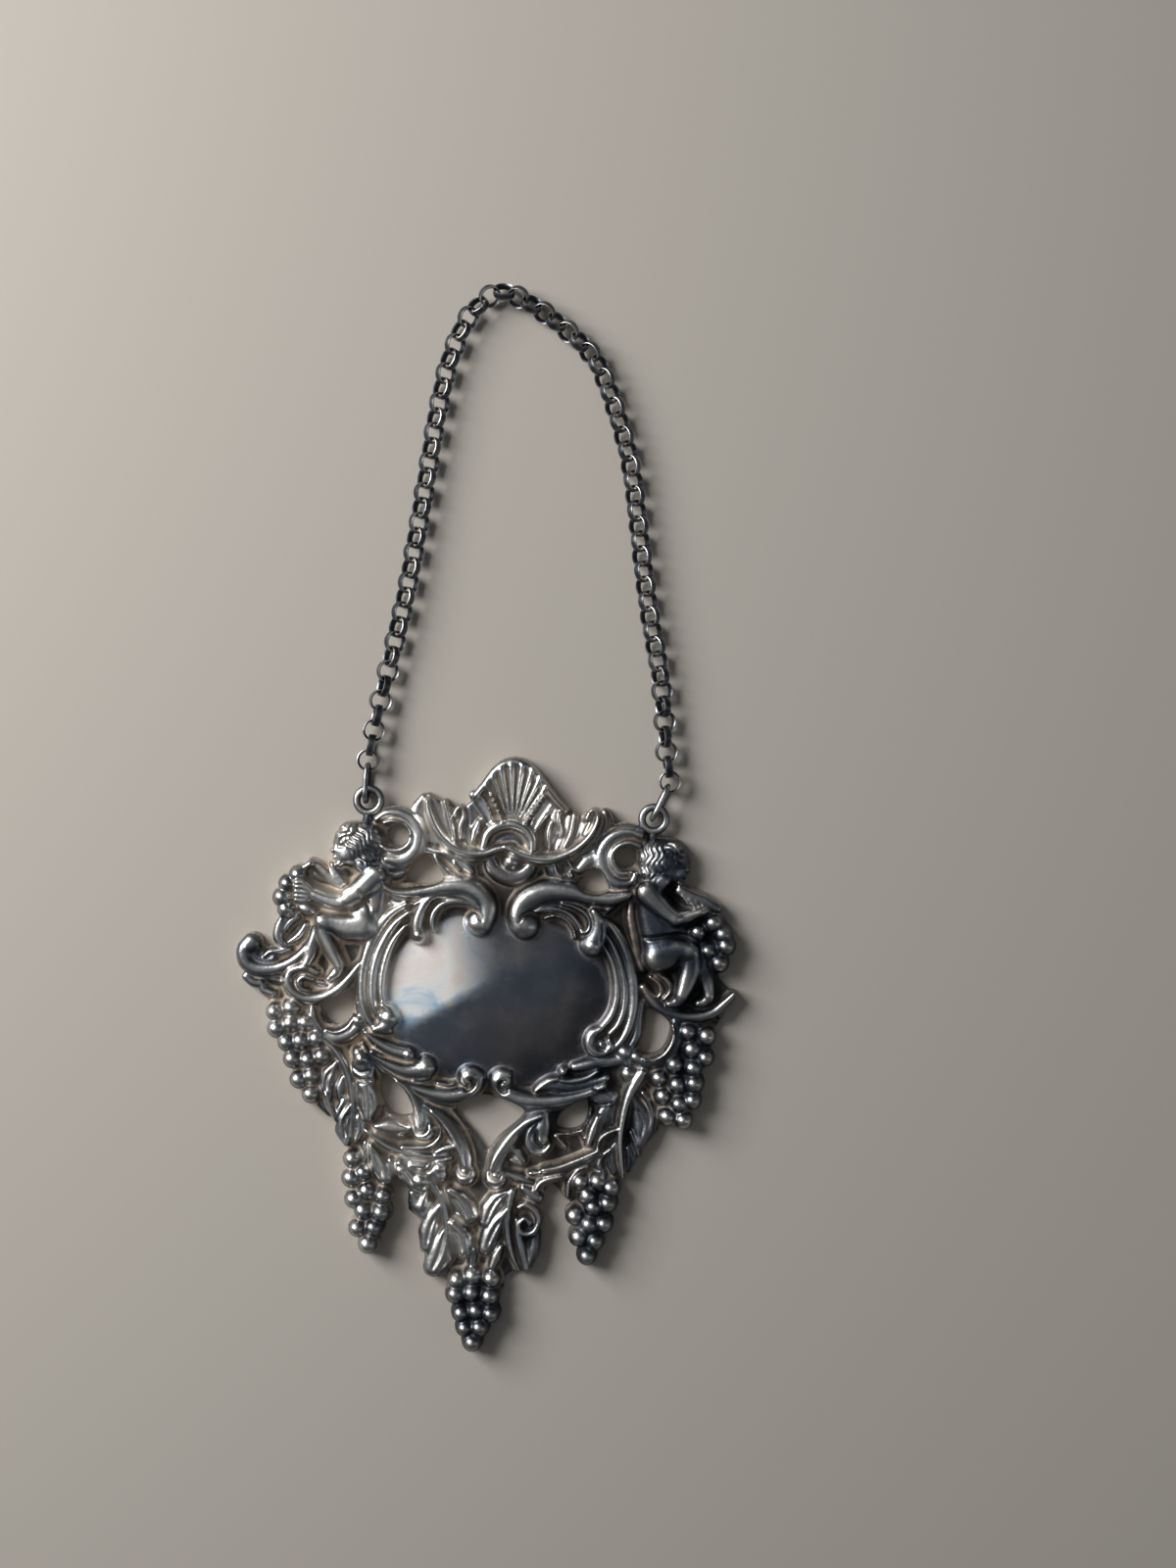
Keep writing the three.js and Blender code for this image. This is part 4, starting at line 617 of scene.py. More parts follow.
RIGHT_CHILD = [
    # far leg and foot
    ([(25.8, 6.0), (26.2, 4.4), (26.8, 2.8), (27.2, 1.4)], (1.12, 1.23, 1.12, 0.9), 2.8),
    ([(27.2, 1.0), (26.6, 0.4), (25.8, 0.2)], (0.9, 0.78, 0.56), 2.6),
    # drapery at the right shoulder
    ([(22.6, 14.6), (24.2, 13.8), (25.8, 13.3), (27.4, 12.6)], (1.01, 1.23, 1.23, 0.9), 2.9),
    # body
    ([(18.7, 13.6), (19.1, 11.6), (19.7, 9.6), (20.1, 7.6)], (1.8, 2.15, 2.3, 2.15), 3.3),
    ([(20.2, 12.4), (20.8, 10.6), (21.0, 9.0)], (1.9, 2.02, 1.79), 3.0),
    ([(22.6, 9.6), (23.4, 9.2), (23.8, 8.6)], (1.12, 1.01, 0.78), 2.4),
    # near leg
    ([(20.3, 5.8), (21.4, 6.2), (22.8, 6.8), (24.3, 7.0)], (2.2, 2.25, 2.0, 1.5), 3.9),
    ([(24.5, 6.6), (24.6, 4.8), (24.2, 3.0), (23.6, 1.2)], (1.57, 1.68, 1.46, 1.06), 3.8),
    ([(23.5, 0.7), (22.8, 0.1), (22.0, -0.1)], (1.06, 0.9, 0.56), 3.0),
    # near arm
    ([(18.3, 14.1), (19.6, 12.8), (20.9, 11.7), (22.0, 11.0)], (1.79, 1.62, 1.46, 1.29), 4.2),
    ([(22.0, 11.0), (23.2, 11.2), (24.4, 11.7), (25.4, 12.1)], (1.23, 1.12, 0.9, 0.73), 3.8),
    # neck
    ([(18.9, 14.6), (19.6, 15.2), (20.2, 15.8)], (1.57, 1.46, 1.23), 3.6),
]

# A child's head, from its middle: place forward and up, half sizes, top height and how softly
# it melts in. First the skull and a plain face, then the lid of the eye and the mass of the hair.
SKULL = [
    ((0.0, 0.0), (3.4, 3.2), 3.3, 0.5),
    ((1.7, -0.9), (1.7, 2.2), 3.0, 0.6),
    ((2.0, 1.0), (1.2, 1.1), 3.0, 0.5),
    ((1.2, -1.6), (1.5, 1.3), 3.1, 0.5),
    ((2.2, -2.6), (0.7, 0.6), 2.8, 0.3),
    ((3.1, -0.9), (0.5, 0.42), 2.8, 0.2),
    ((2.85, -1.8), (0.4, 0.28), 2.8, 0.1),
]
BROW = [(2.7, -0.1), (2.15, -0.4), (1.6, -0.1)]
BROW_WIDTH = 0.22
BROW_CUT = -0.5
LID_AND_HAIR = [
    ((2.15, -0.55), (0.36, 0.2), 3.0, 0.08),
    ((-0.9, 0.3), (2.7, 2.9), 3.7, 0.12),
    ((1.0, 1.8), (1.8, 1.3), 3.55, 0.12),
    ((-1.6, -1.4), (1.6, 1.8), 3.5, 0.12),
]

# Hands, folds cut into the bodies, and drapery round them
FINGERS = 5
FINGER_GAP = 0.58
PLEATS = 4
PLEAT_GAP = 0.9
LEFT_HAND = [((-25.5, 9.1), (1.6, 1.05), 3.0, -15, 0.2), ((-25.4, 11.2), (1.5, 1.35), 3.5, 0, 0.3)]
LEFT_FOLDS = [
    ([(-24.0, 8.7), (-22.2, 9.1), (-20.6, 9.0), (-19.0, 8.6)], 0.2, -0.6),
    ([(-21.8, 5.6), (-20.6, 5.0), (-19.6, 4.9)], 0.22, -0.5),
    ([(-18.8, 12.2), (-18.0, 11.0), (-17.4, 9.9), (-17.2, 9.0)], 0.18, -0.35),
    ([(-20.4, 9.6), (-19.2, 9.6), (-18.2, 10.4)], 0.18, -0.45),
    ([(-21.6, 0.6), (-22.1, 0.3)], 0.1, -0.3),
]
LEFT_DRAPERY = [
    ([(-15.4, 13.0), (-15.2, 11.0), (-15.8, 8.8), (-17.0, 6.6)], (0.3, 0.5, 0.5, 0.3), 2.2),
]
RIGHT_HAND = [((25.8, 12.3), (0.95, 0.8), 3.5, 0, 0.3)]
RIGHT_FOLDS = [
    ([(17.6, 8.2), (19.4, 8.3), (21.6, 8.8), (23.6, 8.8), (24.8, 8.2)], 0.2, -0.7),
    ([(19.6, 11.2), (20.8, 10.6), (22.2, 10.0)], 0.2, -0.45),
    ([(20.6, 3.9), (21.8, 4.2), (22.8, 5.2), (23.4, 6.2)], 0.2, -0.5),
    ([(23.0, 5.4), (22.4, 3.8), (22.6, 2.2), (22.3, 0.8)], 0.16, 0.3),
]
RIGHT_DRAPERY = [
    ([(16.3, 12.8), (16.4, 10.8), (17.0, 8.4), (17.6, 6.0), (18.3, 4.0)],
     (0.4, 0.65, 0.75, 0.65, 0.35), 2.3),
    ([(20.4, 3.6), (21.6, 2.9), (22.2, 1.6), (21.4, 0.4)], (0.3, 0.45, 0.5, 0.3), 2.6),
    ([(19.4, 3.2), (20.6, 2.4), (21.0, 1.2), (20.4, 0.4)], (0.25, 0.4, 0.4, 0.25), 2.3),
]


def smooth_line(points, steps=7, closed=False):
    """Points close together along a soft curve through the given ones."""
    corners = np.array(points, float)
    if closed:
        padded = np.vstack([corners[-1], corners, corners[:2]])
    else:
        padded = np.vstack([2 * corners[0] - corners[1], corners, 2 * corners[-1] - corners[-2]])
    t = np.linspace(0, 1, steps, endpoint=False)[:, None]
    spans = []
    for i in range(1, len(padded) - 2):
        a, b, c, d = padded[i - 1], padded[i], padded[i + 1], padded[i + 2]
        spans.append(0.5 * (2 * b + (c - a) * t + (2 * a - 5 * b + 4 * c - d) * t**2
                            + (3 * b - a - 3 * c + d) * t**3))
    if not closed:
        spans.append(corners[-1:])
    return np.vstack(spans)


def to_segment(x, y, start, end):
    """Place of the nearest point of a segment, from 0 to 1, and the way from there to (x, y)."""
    step = end - start
    size = max(step @ step, 1e-12)
    t = np.clip(((x - start[0]) * step[0] + (y - start[1]) * step[1]) / size, 0, 1)
    return t, x - start[0] - t * step[0], y - start[1] - t * step[1]


def turned(dx, dy, degrees):
    """The same offsets, along and across a direction."""
    c, s = math.cos(math.radians(degrees)), math.sin(math.radians(degrees))
    return dx * c + dy * s, dy * c - dx * s


# Sections of a bar. q is the distance from its middle over its half width, s the same with its
# side as the sign, and t runs from 0 to 1 along it.
def round_section(q, s, t):
    return np.sqrt(np.clip(1 - q**2.5, 0, 1))


def soft_section(q, s, t):
    return np.clip(1 - q**2, 0, 1)


def ridge_section(q, s, t):
    return 0.45 * np.clip(1 - q, 0, 1) + 0.55 * np.sqrt(np.clip(1 - q**2, 0, 1))


def hollow_section(q, s, t):
    return np.sqrt(np.clip(1 - q**6, 0, 1)) * (0.66 + 0.34 * s**2)


def leaf_section(q, s, t):
    body = np.sqrt(np.clip(1 - q**2.5, 0, 1)) * 0.85 + 0.15
    midrib = 0.22 * np.exp(-((s / 0.1) ** 2))
    veins = 0.025 * (0.5 + 0.5 * np.cos(2 * np.pi * (3.5 * t - 0.9 * np.abs(s)))) * np.abs(s)
    return np.clip(body - midrib - veins, 0, 1)


SECTIONS = {
    "round": round_section,
    "soft": soft_section,
    "ridge": ridge_section,
    "hollow": hollow_section,
    "leaf": leaf_section,
}


class Relief:
    """The plate's face as heights over a grid.

    cover says how far each grid point lies inside the plate's outer edge, and open how far
    inside one of its openings; both are below zero elsewhere. FAR stands for a place that no
    line has reached yet, and DEPTH_LIMIT is as far as the distance to an outline is measured.
    """

    FAR = 9.0
    DEPTH_LIMIT = 2.5

    def __init__(self, low, high, pitch):
        self.pitch = pitch
        self.x = np.arange(low[0], high[0] + pitch, pitch)
        self.y = np.arange(low[1], high[1] + pitch, pitch)
        self.height = np.zeros((len(self.y), len(self.x)))
        self.cover = np.full_like(self.height, -self.FAR)
        self.open = np.full_like(self.height, -self.FAR)

    def window(self, line, margin):
        """Rows and columns of the grid within a margin of a line."""
        def part(values, low, high):
            first = max(0, int((low - margin - values[0]) / self.pitch))
            last = min(len(values), int((high + margin - values[0]) / self.pitch) + 2)
            return slice(first, last)

        columns = part(self.x, line[:, 0].min(), line[:, 0].max())
        rows = part(self.y, line[:, 1].min(), line[:, 1].max())
        return rows, columns

    def from_centre(self, centre, reach):
        """The window within reach of a point, and the offsets from the point there."""
        window = self.window(np.array([centre], float), reach)
        rows, columns = window
        return window, self.x[columns][None, :] - centre[0], self.y[rows][:, None] - centre[1]

    def beside(self, line, reach):
        """Distance from a line, place along it and side of it, where it can reach."""
        rows, columns = self.window(line, reach)
        shape = (rows.stop - rows.start, columns.stop - columns.start)
        near = np.full(shape, 1e9)
        place = np.zeros(shape)
        side = np.zeros(shape)
        steps = np.hypot(*np.diff(line, axis=0).T)
        before = np.concatenate([[0], np.cumsum(steps)])
        for i in range(len(line) - 1):
            start, end = line[i], line[i + 1]
            r, c = self.window(line[i:i + 2], reach)
            own = (slice(r.start - rows.start, r.stop - rows.start),
                   slice(c.start - columns.start, c.stop - columns.start))
            step = end - start
            t, away_x, away_y = to_segment(self.x[c][None, :], self.y[r][:, None], start, end)
            distance = np.hypot(away_x, away_y)
            closer = distance < near[own]
            near[own] = np.where(closer, distance, near[own])
            place[own] = np.where(closer, (before[i] + t * steps[i]) / before[-1], place[own])
            turn = np.sign(step[0] * away_y - step[1] * away_x)
            side[own] = np.where(closer, turn, side[own])
        return (rows, columns), near, place, side

    def raise_to(self, window, heights, inside):
        here = self.height[window]
        self.height[window] = np.where(inside, np.maximum(here, heights), here)

    def melt(self, window, heights, blend):
        """Raises the face to the given heights, with a soft fillet where the two meet."""
        here = self.height[window]
        gap = np.abs(here - heights)
        lift = np.clip(blend - gap, 0, None) ** 2 / (4 * blend)
        lift = np.where(np.maximum(here, heights) > MELT_ABOVE, lift, 0)
        self.height[window] = np.maximum(here, heights) + lift

    def widen(self, window, depth):
        self.cover[window] = np.maximum(self.cover[window], depth)

    def bar(self, points, width, top, section="round", base=GROUND):
        """A raised bar along a curve, with its half widths from end to end."""
        line = smooth_line(points)
        window, near, place, side = self.beside(line, max(width) + SPREAD + self.pitch)
        half = np.interp(place, np.linspace(0, 1, len(width)), width) + SPREAD
        q = near / half
        rise = SECTIONS[section](q, np.clip(side * q, -1, 1), place)
        self.raise_to(window, base + (top - base) * rise, q < 1)
        self.widen(window, half - near)

    def limb(self, points, width, top):
        """A soft bar that melts into what is round it."""
        window, near, place, _ = self.beside(smooth_line(points), max(width) + LIMB_REACH)
        half = np.interp(place, np.linspace(0, 1, len(width)), width)
        q = near / half
        inner = np.sqrt(np.clip(1 - q**3, 0, 1))
        outer = -OUTER_FALL * np.clip(q - 1, 0, None)
        self.melt(window, SOFT_FOOT + (top - SOFT_FOOT) * (inner + outer), LIMB_BLEND)
        self.widen(window, half - near)

    def ball(self, centre, radius, top, base=GROUND, cover=True):
        window, dx, dy = self.from_centre(centre, radius + self.pitch)
        away = np.hypot(dx, dy)
        rise = np.sqrt(np.clip(1 - (away / radius) ** 2, 0, 1))
        self.raise_to(window, base + (top - base) * rise, away < radius)
        if cover:
            self.widen(window, radius - away)

    def soft_ball(self, centre, radii, top, turn=0, blend=BOSS_BLEND):
        """A boss with an oval plan that melts into what is round it."""
        window, dx, dy = self.from_centre(centre, max(radii) + BOSS_REACH)
        along, across = turned(dx, dy, turn)
        q = np.hypot(along / radii[0], across / radii[1])
        inner = np.sqrt(np.clip(1 - q**2.4, 0, 1))
        heights = SOFT_FOOT + (top - SOFT_FOOT) * (inner - OUTER_FALL * np.clip(q - 1, 0, None))
        self.melt(window, heights, blend)
        self.widen(window, (1 - q) * min(radii))

    def line(self, points, width, lift):
        """A fine line laid on the surface, or cut into it where lift is below zero."""
        window, near, place, _ = self.beside(smooth_line(points), 2.6 * width)
        ends = np.clip(4 * np.minimum(place, 1 - place) + 0.15, 0, 1)
        here = self.height[window]
        change = lift * ends * np.exp(-((near / width) ** 2))
        self.height[window] = np.where(here > 0, here + change, here)

    def polygon_depth(self, points):
        """Signed distance to a closed line, positive inside, up to a limit."""
        line = smooth_line(points, 6, closed=True)
        x = self.x[None, :]
        y = self.y[:, None]
        near = np.full(self.height.shape, 1e9)
        inside = np.zeros(self.height.shape, bool)
        for start, end in zip(line, np.roll(line, -1, axis=0)):
            r, c = self.window(np.array([start, end]), self.DEPTH_LIMIT)
            _, away_x, away_y = to_segment(self.x[c][None, :], self.y[r][:, None], start, end)
            near[r, c] = np.minimum(near[r, c], np.hypot(away_x, away_y))
            if start[1] != end[1]:
                crosses = (y > min(start[1], end[1])) & (y <= max(start[1], end[1]))
                at = start[0] + (y - start[1]) * (end[0] - start[0]) / (end[1] - start[1])
                inside ^= crosses & (x > at)
        near = np.minimum(near, self.DEPTH_LIMIT)
        return np.where(inside, near, -near)

    def soften(self, values, spread):
        """Gaussian blur, spread in millimetres."""
        reach = int(math.ceil(3 * spread / self.pitch))
        offsets = np.arange(-reach, reach + 1)
        weights = np.exp(-0.5 * (offsets * self.pitch / spread) ** 2)
        weights /= weights.sum()
        for axis in (0, 1):
            pads = [(0, 0), (0, 0)]
            pads[axis] = (reach, reach)
            padded = np.pad(values, pads, mode="edge")
            size = values.shape[axis]
            total = np.zeros_like(values)
            for k, weight in enumerate(weights):
                piece = [slice(None), slice(None)]
                piece[axis] = slice(k, k + size)
                total += weight * padded[tuple(piece)]
            values = total
        return values

    def sample(self, values, x, y):
        """Values of the grid at given places, between its points."""
        u = np.clip((x - self.x[0]) / self.pitch, 0, len(self.x) - 1.001)
        v = np.clip((y - self.y[0]) / self.pitch, 0, len(self.y) - 1.001)
        i = u.astype(int)
        j = v.astype(int)
        fu = u - i
        fv = v - j
        low = values[j, i] * (1 - fu) + values[j, i + 1] * fu
        high = values[j + 1, i] * (1 - fu) + values[j + 1, i + 1] * fu
        return low * (1 - fv) + high * fv


def shape_ground(relief):
    """The flat ground: the outline, drawn in where grapes make the edge, less the openings."""
    cover = relief.polygon_depth(OUTLINE) - EDGE_INSET
    x = relief.x[None, :]
    y = relief.y[:, None]
    to_grape = np.full_like(cover, Relief.FAR)
    for gx, gy in GRAPES:
        to_grape = np.minimum(to_grape, np.hypot(x - gx, y - gy))
    cover -= GRAPE_INSET * np.clip((GRAPE_REACH - to_grape) / GRAPE_FADE, 0, 1)
    for opening in OPENINGS:
        relief.open = np.maximum(relief.open, relief.polygon_depth(opening))
    for (hx, hy), radius in ROUND_HOLES:
        relief.open = np.maximum(relief.open, radius - np.hypot(x - hx, y - hy))
    relief.cover = cover
    relief.height[:] = GROUND


def shape_panel(relief):
    x = (relief.x[None, :] - PANEL_CENTRE[0]) / PANEL_HALF[0]
    y = (relief.y[:, None] - PANEL_CENTRE[1]) / PANEL_HALF[1]
    out = np.hypot(x, y)
    dome = GROUND + PANEL_RISE * (1 - np.clip(out, 0, 1) ** 3)
    relief.height = np.where(out < 1, np.maximum(relief.height, dome), relief.height)


def shape_shell(relief):
    x = relief.x[None, :] - SHELL_ORIGIN[0]
    y = relief.y[:, None] - SHELL_ORIGIN[1]
    out = np.hypot(x, y)
    turn = np.degrees(np.arctan2(x, y))
    edge = np.interp(turn, FAN_BEARINGS, FAN_EDGE)
    fan = (out > FAN_START) & (out < edge) & (np.abs(turn) < FAN_HALF_TURN)
    flute = np.abs(np.sin(np.pi * (turn + FAN_HALF_TURN) / RIB_TURN))
    heights = FAN_FOOT + FAN_CLIMB * out + RIB_RISE * flute**0.75 * np.clip(out / 4, 0.4, 1)
    relief.height = np.where(fan, np.maximum(relief.height, heights), relief.height)
    nearest, farthest = WING_RANGE
    least, most = WING_TURNS
    for side, pivot in ((-1, WING_LEFT), (1, WING_RIGHT)):
        dx = side * (relief.x[None, :] - pivot[0])
        dy = relief.y[:, None] - pivot[1]
        away = np.hypot(dx, dy)
        curled = np.degrees(np.arctan2(dx, dy)) + WING_CURL * (away - 8)
        wing = (away > nearest) & (away < farthest) & (curled > least) & (curled < most)
        wing &= np.abs(turn) > FAN_HALF_TURN - 1
        lobe = (curled - least) / LOBE_WIDTH
        across = np.abs(2 * (lobe - np.floor(lobe)) - 1)
        heights = WING_TOP + LOBE_RISE * np.cos(np.pi * across)
        relief.height = np.where(wing, np.maximum(relief.height, heights), relief.height)


def shape_beads(relief):
    """Two rows of small beads in dark grooves beside the shell's ribs."""
    for (x0, y0), (x1, y1), count in BEAD_ROWS:
        groove = [(x0, y0), ((x0 + x1) / 2, (y0 + y1) / 2), (x1, y1)]
        relief.line(groove, GROOVE_WIDTH, GROOVE_LIFT)
        for t in np.linspace(*BEAD_SPAN, count):
            place = (x0 + t * (x1 - x0), y0 + t * (y1 - y0))
            relief.ball(place, BEAD_RADIUS, BEAD_TOP, BEAD_FOOT, cover=False)


def comb(relief, centre, radii, turn):
    """Wavy locks of hair side by side over an oval patch."""
    window, dx, dy = relief.from_centre(centre, max(radii) + HAIR_MARGIN)
    along, across = turned(dx, dy, turn)
    inside = np.clip(HAIR_FADE * (1 - np.hypot(along / radii[0], across / radii[1])), 0, 1)
    swayed = across + LOCK_SWAY * np.sin(2 * np.pi * along / LOCK_WAVE + LOCK_DRIFT * across)
    lock = np.abs(np.sin(np.pi * swayed / LOCK_WIDTH)) ** LOCK_ROUNDNESS
    relief.height[window] += LOCK_DEPTH * (lock - LOCK_SINK) * inside


def head(relief, centre, facing, hair):
    """A child's head in half relief with a plain round face; facing is -1 left or 1 right."""
    x, y = centre

    def at(forward, up):
        return (x + facing * forward, y + up)

    for place, radii, top, blend in SKULL:
        relief.soft_ball(at(*place), radii, top, blend=blend)
    relief.line([at(*place) for place in BROW], BROW_WIDTH, BROW_CUT)
    for place, radii, top, blend in LID_AND_HAIR:
        relief.soft_ball(at(*place), radii, top, blend=blend)
    for patch in hair:
        comb(relief, *patch)


def shape_left_child(relief):
    for limb in LEFT_CHILD:
        relief.limb(*limb)
    head(relief, (-19.5, 17.8), -1, LEFT_HAIR)
    # hand over the fruit, and its fingers
    for boss in LEFT_HAND:
        relief.soft_ball(*boss)
    for i in range(FINGERS):
        y = 12.6 - FINGER_GAP * i
        finger = [(-24.8, 11.5 - 0.2 * i), (-25.9, y - 0.1), (-26.9, y - 0.05)]
        relief.bar(finger, (0.26, 0.3, 0.25), 3.9 - 0.1 * i, base=2.9)
    for fold in LEFT_FOLDS:
        relief.line(*fold)
    for bar in LEFT_DRAPERY:
        relief.bar(*bar)


def shape_right_child(relief):
    for limb in RIGHT_CHILD:
        relief.limb(*limb)
    head(relief, (20.2, 18.2), 1, RIGHT_HAIR)
    for boss in RIGHT_HAND:
        relief.soft_ball(*boss)
    for fold in RIGHT_FOLDS:
        relief.line(*fold)
    for bar in RIGHT_DRAPERY:
        relief.bar(*bar)
    # pleats at the shoulder
    for i in range(PLEATS):
        start = (22.8 + PLEAT_GAP * i, 14.0 - 0.3 * i)
        end = (23.6 + PLEAT_GAP * i, 13.2 - 0.4 * i)
        relief.bar([start, end], (0.2, 0.4), 3.0)


def shape_face(relief):
    """Lays the whole relief on the ground, from the back forward."""
    shape_ground(relief)
    shape_panel(relief)
    shape_shell(relief)
    for bars in (CREST_LEAVES, CREST_BOSS, SHELL_RIM, SHELL_ARCH, MOUSTACHE, LEAVES, LOWER, HOOK,
                 RING_SCROLLS, FRAME_SIDES, FRAME_FOOT, FRAME_TOP, STEMS):
        for bar in bars:
            relief.bar(*bar)
    for bulb in BULBS:
        relief.ball(*bulb)
    for cut in CUTS:
        relief.line(*cut)
    shape_beads(relief)
    shape_left_child(relief)
    shape_right_child(relief)
    sizes = np.random.default_rng(GRAPE_SEED)
    for centre in GRAPES:
        radius = GRAPE_RADIUS * sizes.uniform(*GRAPE_VARIETY)
        relief.ball(centre, radius, GRAPE_LIFT + radius)


def finish_face(relief, softness):
    """Rounds the outer edge over and takes the sharpness off the casting."""
    relief.cover = np.minimum(relief.cover, HOLE_INSET - relief.open)
    depth = np.clip(relief.cover, 0, EDGE_DEPTH)
    shoulder = np.sqrt(np.clip(1 - (1 - np.clip(depth / EDGE_REACH, 0, 1)) ** 2, 0, 1))
    edge = EDGE_FOOT + EDGE_RISE * shoulder + EDGE_CLIMB * depth
    filled = relief.soften(relief.height, FILL_REACH) - FILL_DEPTH
    relief.height = np.maximum(relief.height, filled)
    relief.height = np.minimum(relief.height, edge)
    relief.height = relief.soften(relief.height, softness)
    relief.height = np.minimum(relief.height, TOP_LIMIT)


def cut_out(relief):
    """Which grid points belong to the plate, without spots that hang together by one point."""
    keep = relief.cover > -KEEP_OUTSIDE * relief.pitch
    while True:
        faces = grid_faces(keep)
        used = np.zeros(keep.size, bool)
        used[faces.ravel()] = True
        rim = rim_edges(faces)
        starts = np.bincount(rim[:, 0], minlength=keep.size)
        pinched = starts > 1
        if not pinched.any():
            return used.reshape(keep.shape), faces, rim
        keep = (used & ~pinched).reshape(keep.shape)


def grid_faces(keep):
    """Triangles, seen from above anticlockwise, over grid cells with three or four kept corners."""
    index = np.arange(keep.size).reshape(keep.shape)
    corners = [keep[:-1, :-1], keep[:-1, 1:], keep[1:, 1:], keep[1:, :-1]]
    places = [index[:-1, :-1], index[:-1, 1:], index[1:, 1:], index[1:, :-1]]
    count = sum(c.astype(int) for c in corners)
    full = count == 4
    a, b, c, d = [p[full] for p in places]
    even = (a % 2) == 0
    first = np.where(even[:, None], np.stack([a, b, c], 1), np.stack([a, b, d], 1))
    second = np.where(even[:, None], np.stack([a, c, d], 1), np.stack([b, c, d], 1))
    faces = [first, second]
    for missing in range(4):
        three = (count == 3) & ~corners[missing]
        rest = [places[(missing + k) % 4][three] for k in (1, 2, 3)]
        faces.append(np.stack(rest, 1))
    return np.vstack(faces)


def rim_edges(faces):
    """Directed edges that only one face uses."""
    edges = np.vstack([faces[:, [0, 1]], faces[:, [1, 2]], faces[:, [2, 0]]]).astype(np.int64)
    size = edges.max() + 1
    forward = edges[:, 0] * size + edges[:, 1]
    backward = edges[:, 1] * size + edges[:, 0]
    return edges[~np.isin(forward, backward)]


def mesh_of_triangles(name, points, faces):
    mesh = bpy.data.meshes.new(name)
    mesh.vertices.add(len(points))
    mesh.vertices.foreach_set("co", (np.asarray(points, float) * MM).ravel())
    mesh.loops.add(len(faces) * 3)
    mesh.loops.foreach_set("vertex_index", np.asarray(faces, np.int32).ravel())
    mesh.polygons.add(len(faces))
    mesh.polygons.foreach_set("loop_start", np.arange(0, len(faces) * 3, 3, dtype=np.int32))
    mesh.update(calc_edges=True)
    mesh.validate()
    return mesh


def plate_mesh(relief):
    """Closed mesh of the plate: its face, its flat back and the walls between them."""
    keep, faces, rim = cut_out(relief)
    order = np.full(keep.size, -1)
    kept = np.flatnonzero(keep)
    order[kept] = np.arange(len(kept))
    rows, columns = np.unravel_index(kept, keep.shape)
    x = relief.x[columns]
    y = relief.y[rows]
    z = relief.height.ravel()[kept]
    # the points of the rim move on to the line where cover is zero
    edge = order[rim[:, 0]]
    down, across = np.gradient(relief.cover, relief.pitch)
    gx = across.ravel()[kept][edge]
    gy = down.ravel()[kept][edge]
    move = relief.cover.ravel()[kept][edge] / np.maximum(gx**2 + gy**2, 0.3)
    move = np.clip(move, -MOVE_LIMIT * relief.pitch, MOVE_LIMIT * relief.pitch)
    x[edge] -= move * gx
    y[edge] -= move * gy
    z[edge] = EDGE_FOOT
    top = np.stack([x, y, z], 1)
    bottom = np.stack([x, y, np.zeros_like(z)], 1)
    count = len(kept)
    upper = order[faces]
    lower = upper[:, ::-1] + count
    a = order[rim[:, 0]]
    b = order[rim[:, 1]]
    walls = np.vstack([np.stack([b, a, a + count], 1), np.stack([b, a + count, b + count], 1)])
    points = np.vstack([top, bottom])
    return mesh_of_triangles("label_plate_relief", points, np.vstack([upper, lower, walls]))


def thinned(mesh, triangles, name):
    """An object with the same mesh in fewer triangles, most of them kept where it curves."""
    body = bpy.data.objects.new(name, mesh)
    bpy.context.scene.collection.objects.link(body)
    fewer = body.modifiers.new("fewer triangles", "DECIMATE")
    fewer.ratio = min(1.0, triangles / len(mesh.polygons))
    bpy.context.view_layer.update()
    shown = body.evaluated_get(bpy.context.evaluated_depsgraph_get())
    result = bpy.data.meshes.new_from_object(shown)
    body.modifiers.clear()
    body.data = result
    bpy.data.meshes.remove(mesh)
    result.name = name
    return body


def write_values(mesh, **layers):
    """Named values at the mesh's points, each an array or one number for all."""
    for name, values in layers.items():
        layer = mesh.attributes.new(name, "FLOAT", "POINT")
        filled = np.broadcast_to(np.asarray(values, np.float32), len(mesh.vertices))
        layer.data.foreach_set("value", np.ascontiguousarray(filled))


def corner_points(mesh):
    points = np.zeros(len(mesh.vertices) * 3)
    mesh.vertices.foreach_get("co", points)
    return points.reshape(-1, 3) / MM


# Where the finish, the painted shade and the painted highlights change: distances, heights and slopes
# of the relief
RUB_REACH, RUB_SPAN = 0.75, 0.5
CREASE_REACH, CREASE_START, CREASE_SPAN = 0.22, 0.045, 0.08
SLOPE_REACH, STEEP_SLOPE, STEEP_START = 0.08, 1.6, 0.3
LEE_BASE, LEE_SWING = 0.6, 0.4
HOLLOW_REACH, HOLLOW_START, HOLLOW_SPAN, HOLLOW_MOST = 1.2, 0.15, 0.8, 0.95
FLOOR_TOP, FLOOR_SPAN = 1.72, 0.3
PANEL_EDGE, PANEL_SPAN, PANEL_TOP = 0.97, 0.04, 2.26
RIM_REACH = 0.4
BACK_TOP, WALL_TOP = 0.3, 0.9
BRIGHT_CLEARS, RIM_CLEARS = 0.75, 0.8
BACK_GROUND, BACK_STEEP, BACK_RUBBED = 0.15, 0.3, 0.3
# the painted reflection of the light at the left end of the panel, with iridescent tints: a slanting
# edge up from its corner, and a fade to the right
FILM_CORNER, FILM_SLANT, FILM_EDGE = (-13.0, -7.0), (0.53, 0.848), 1.3
FILM_RIGHT, FILM_LEAN, FILM_FADE = 0.6, 0.3, 7.0

# Side that the light comes from: flanks facing away from it get more painted shade
WIPED_FROM = (-0.87, 0.5)
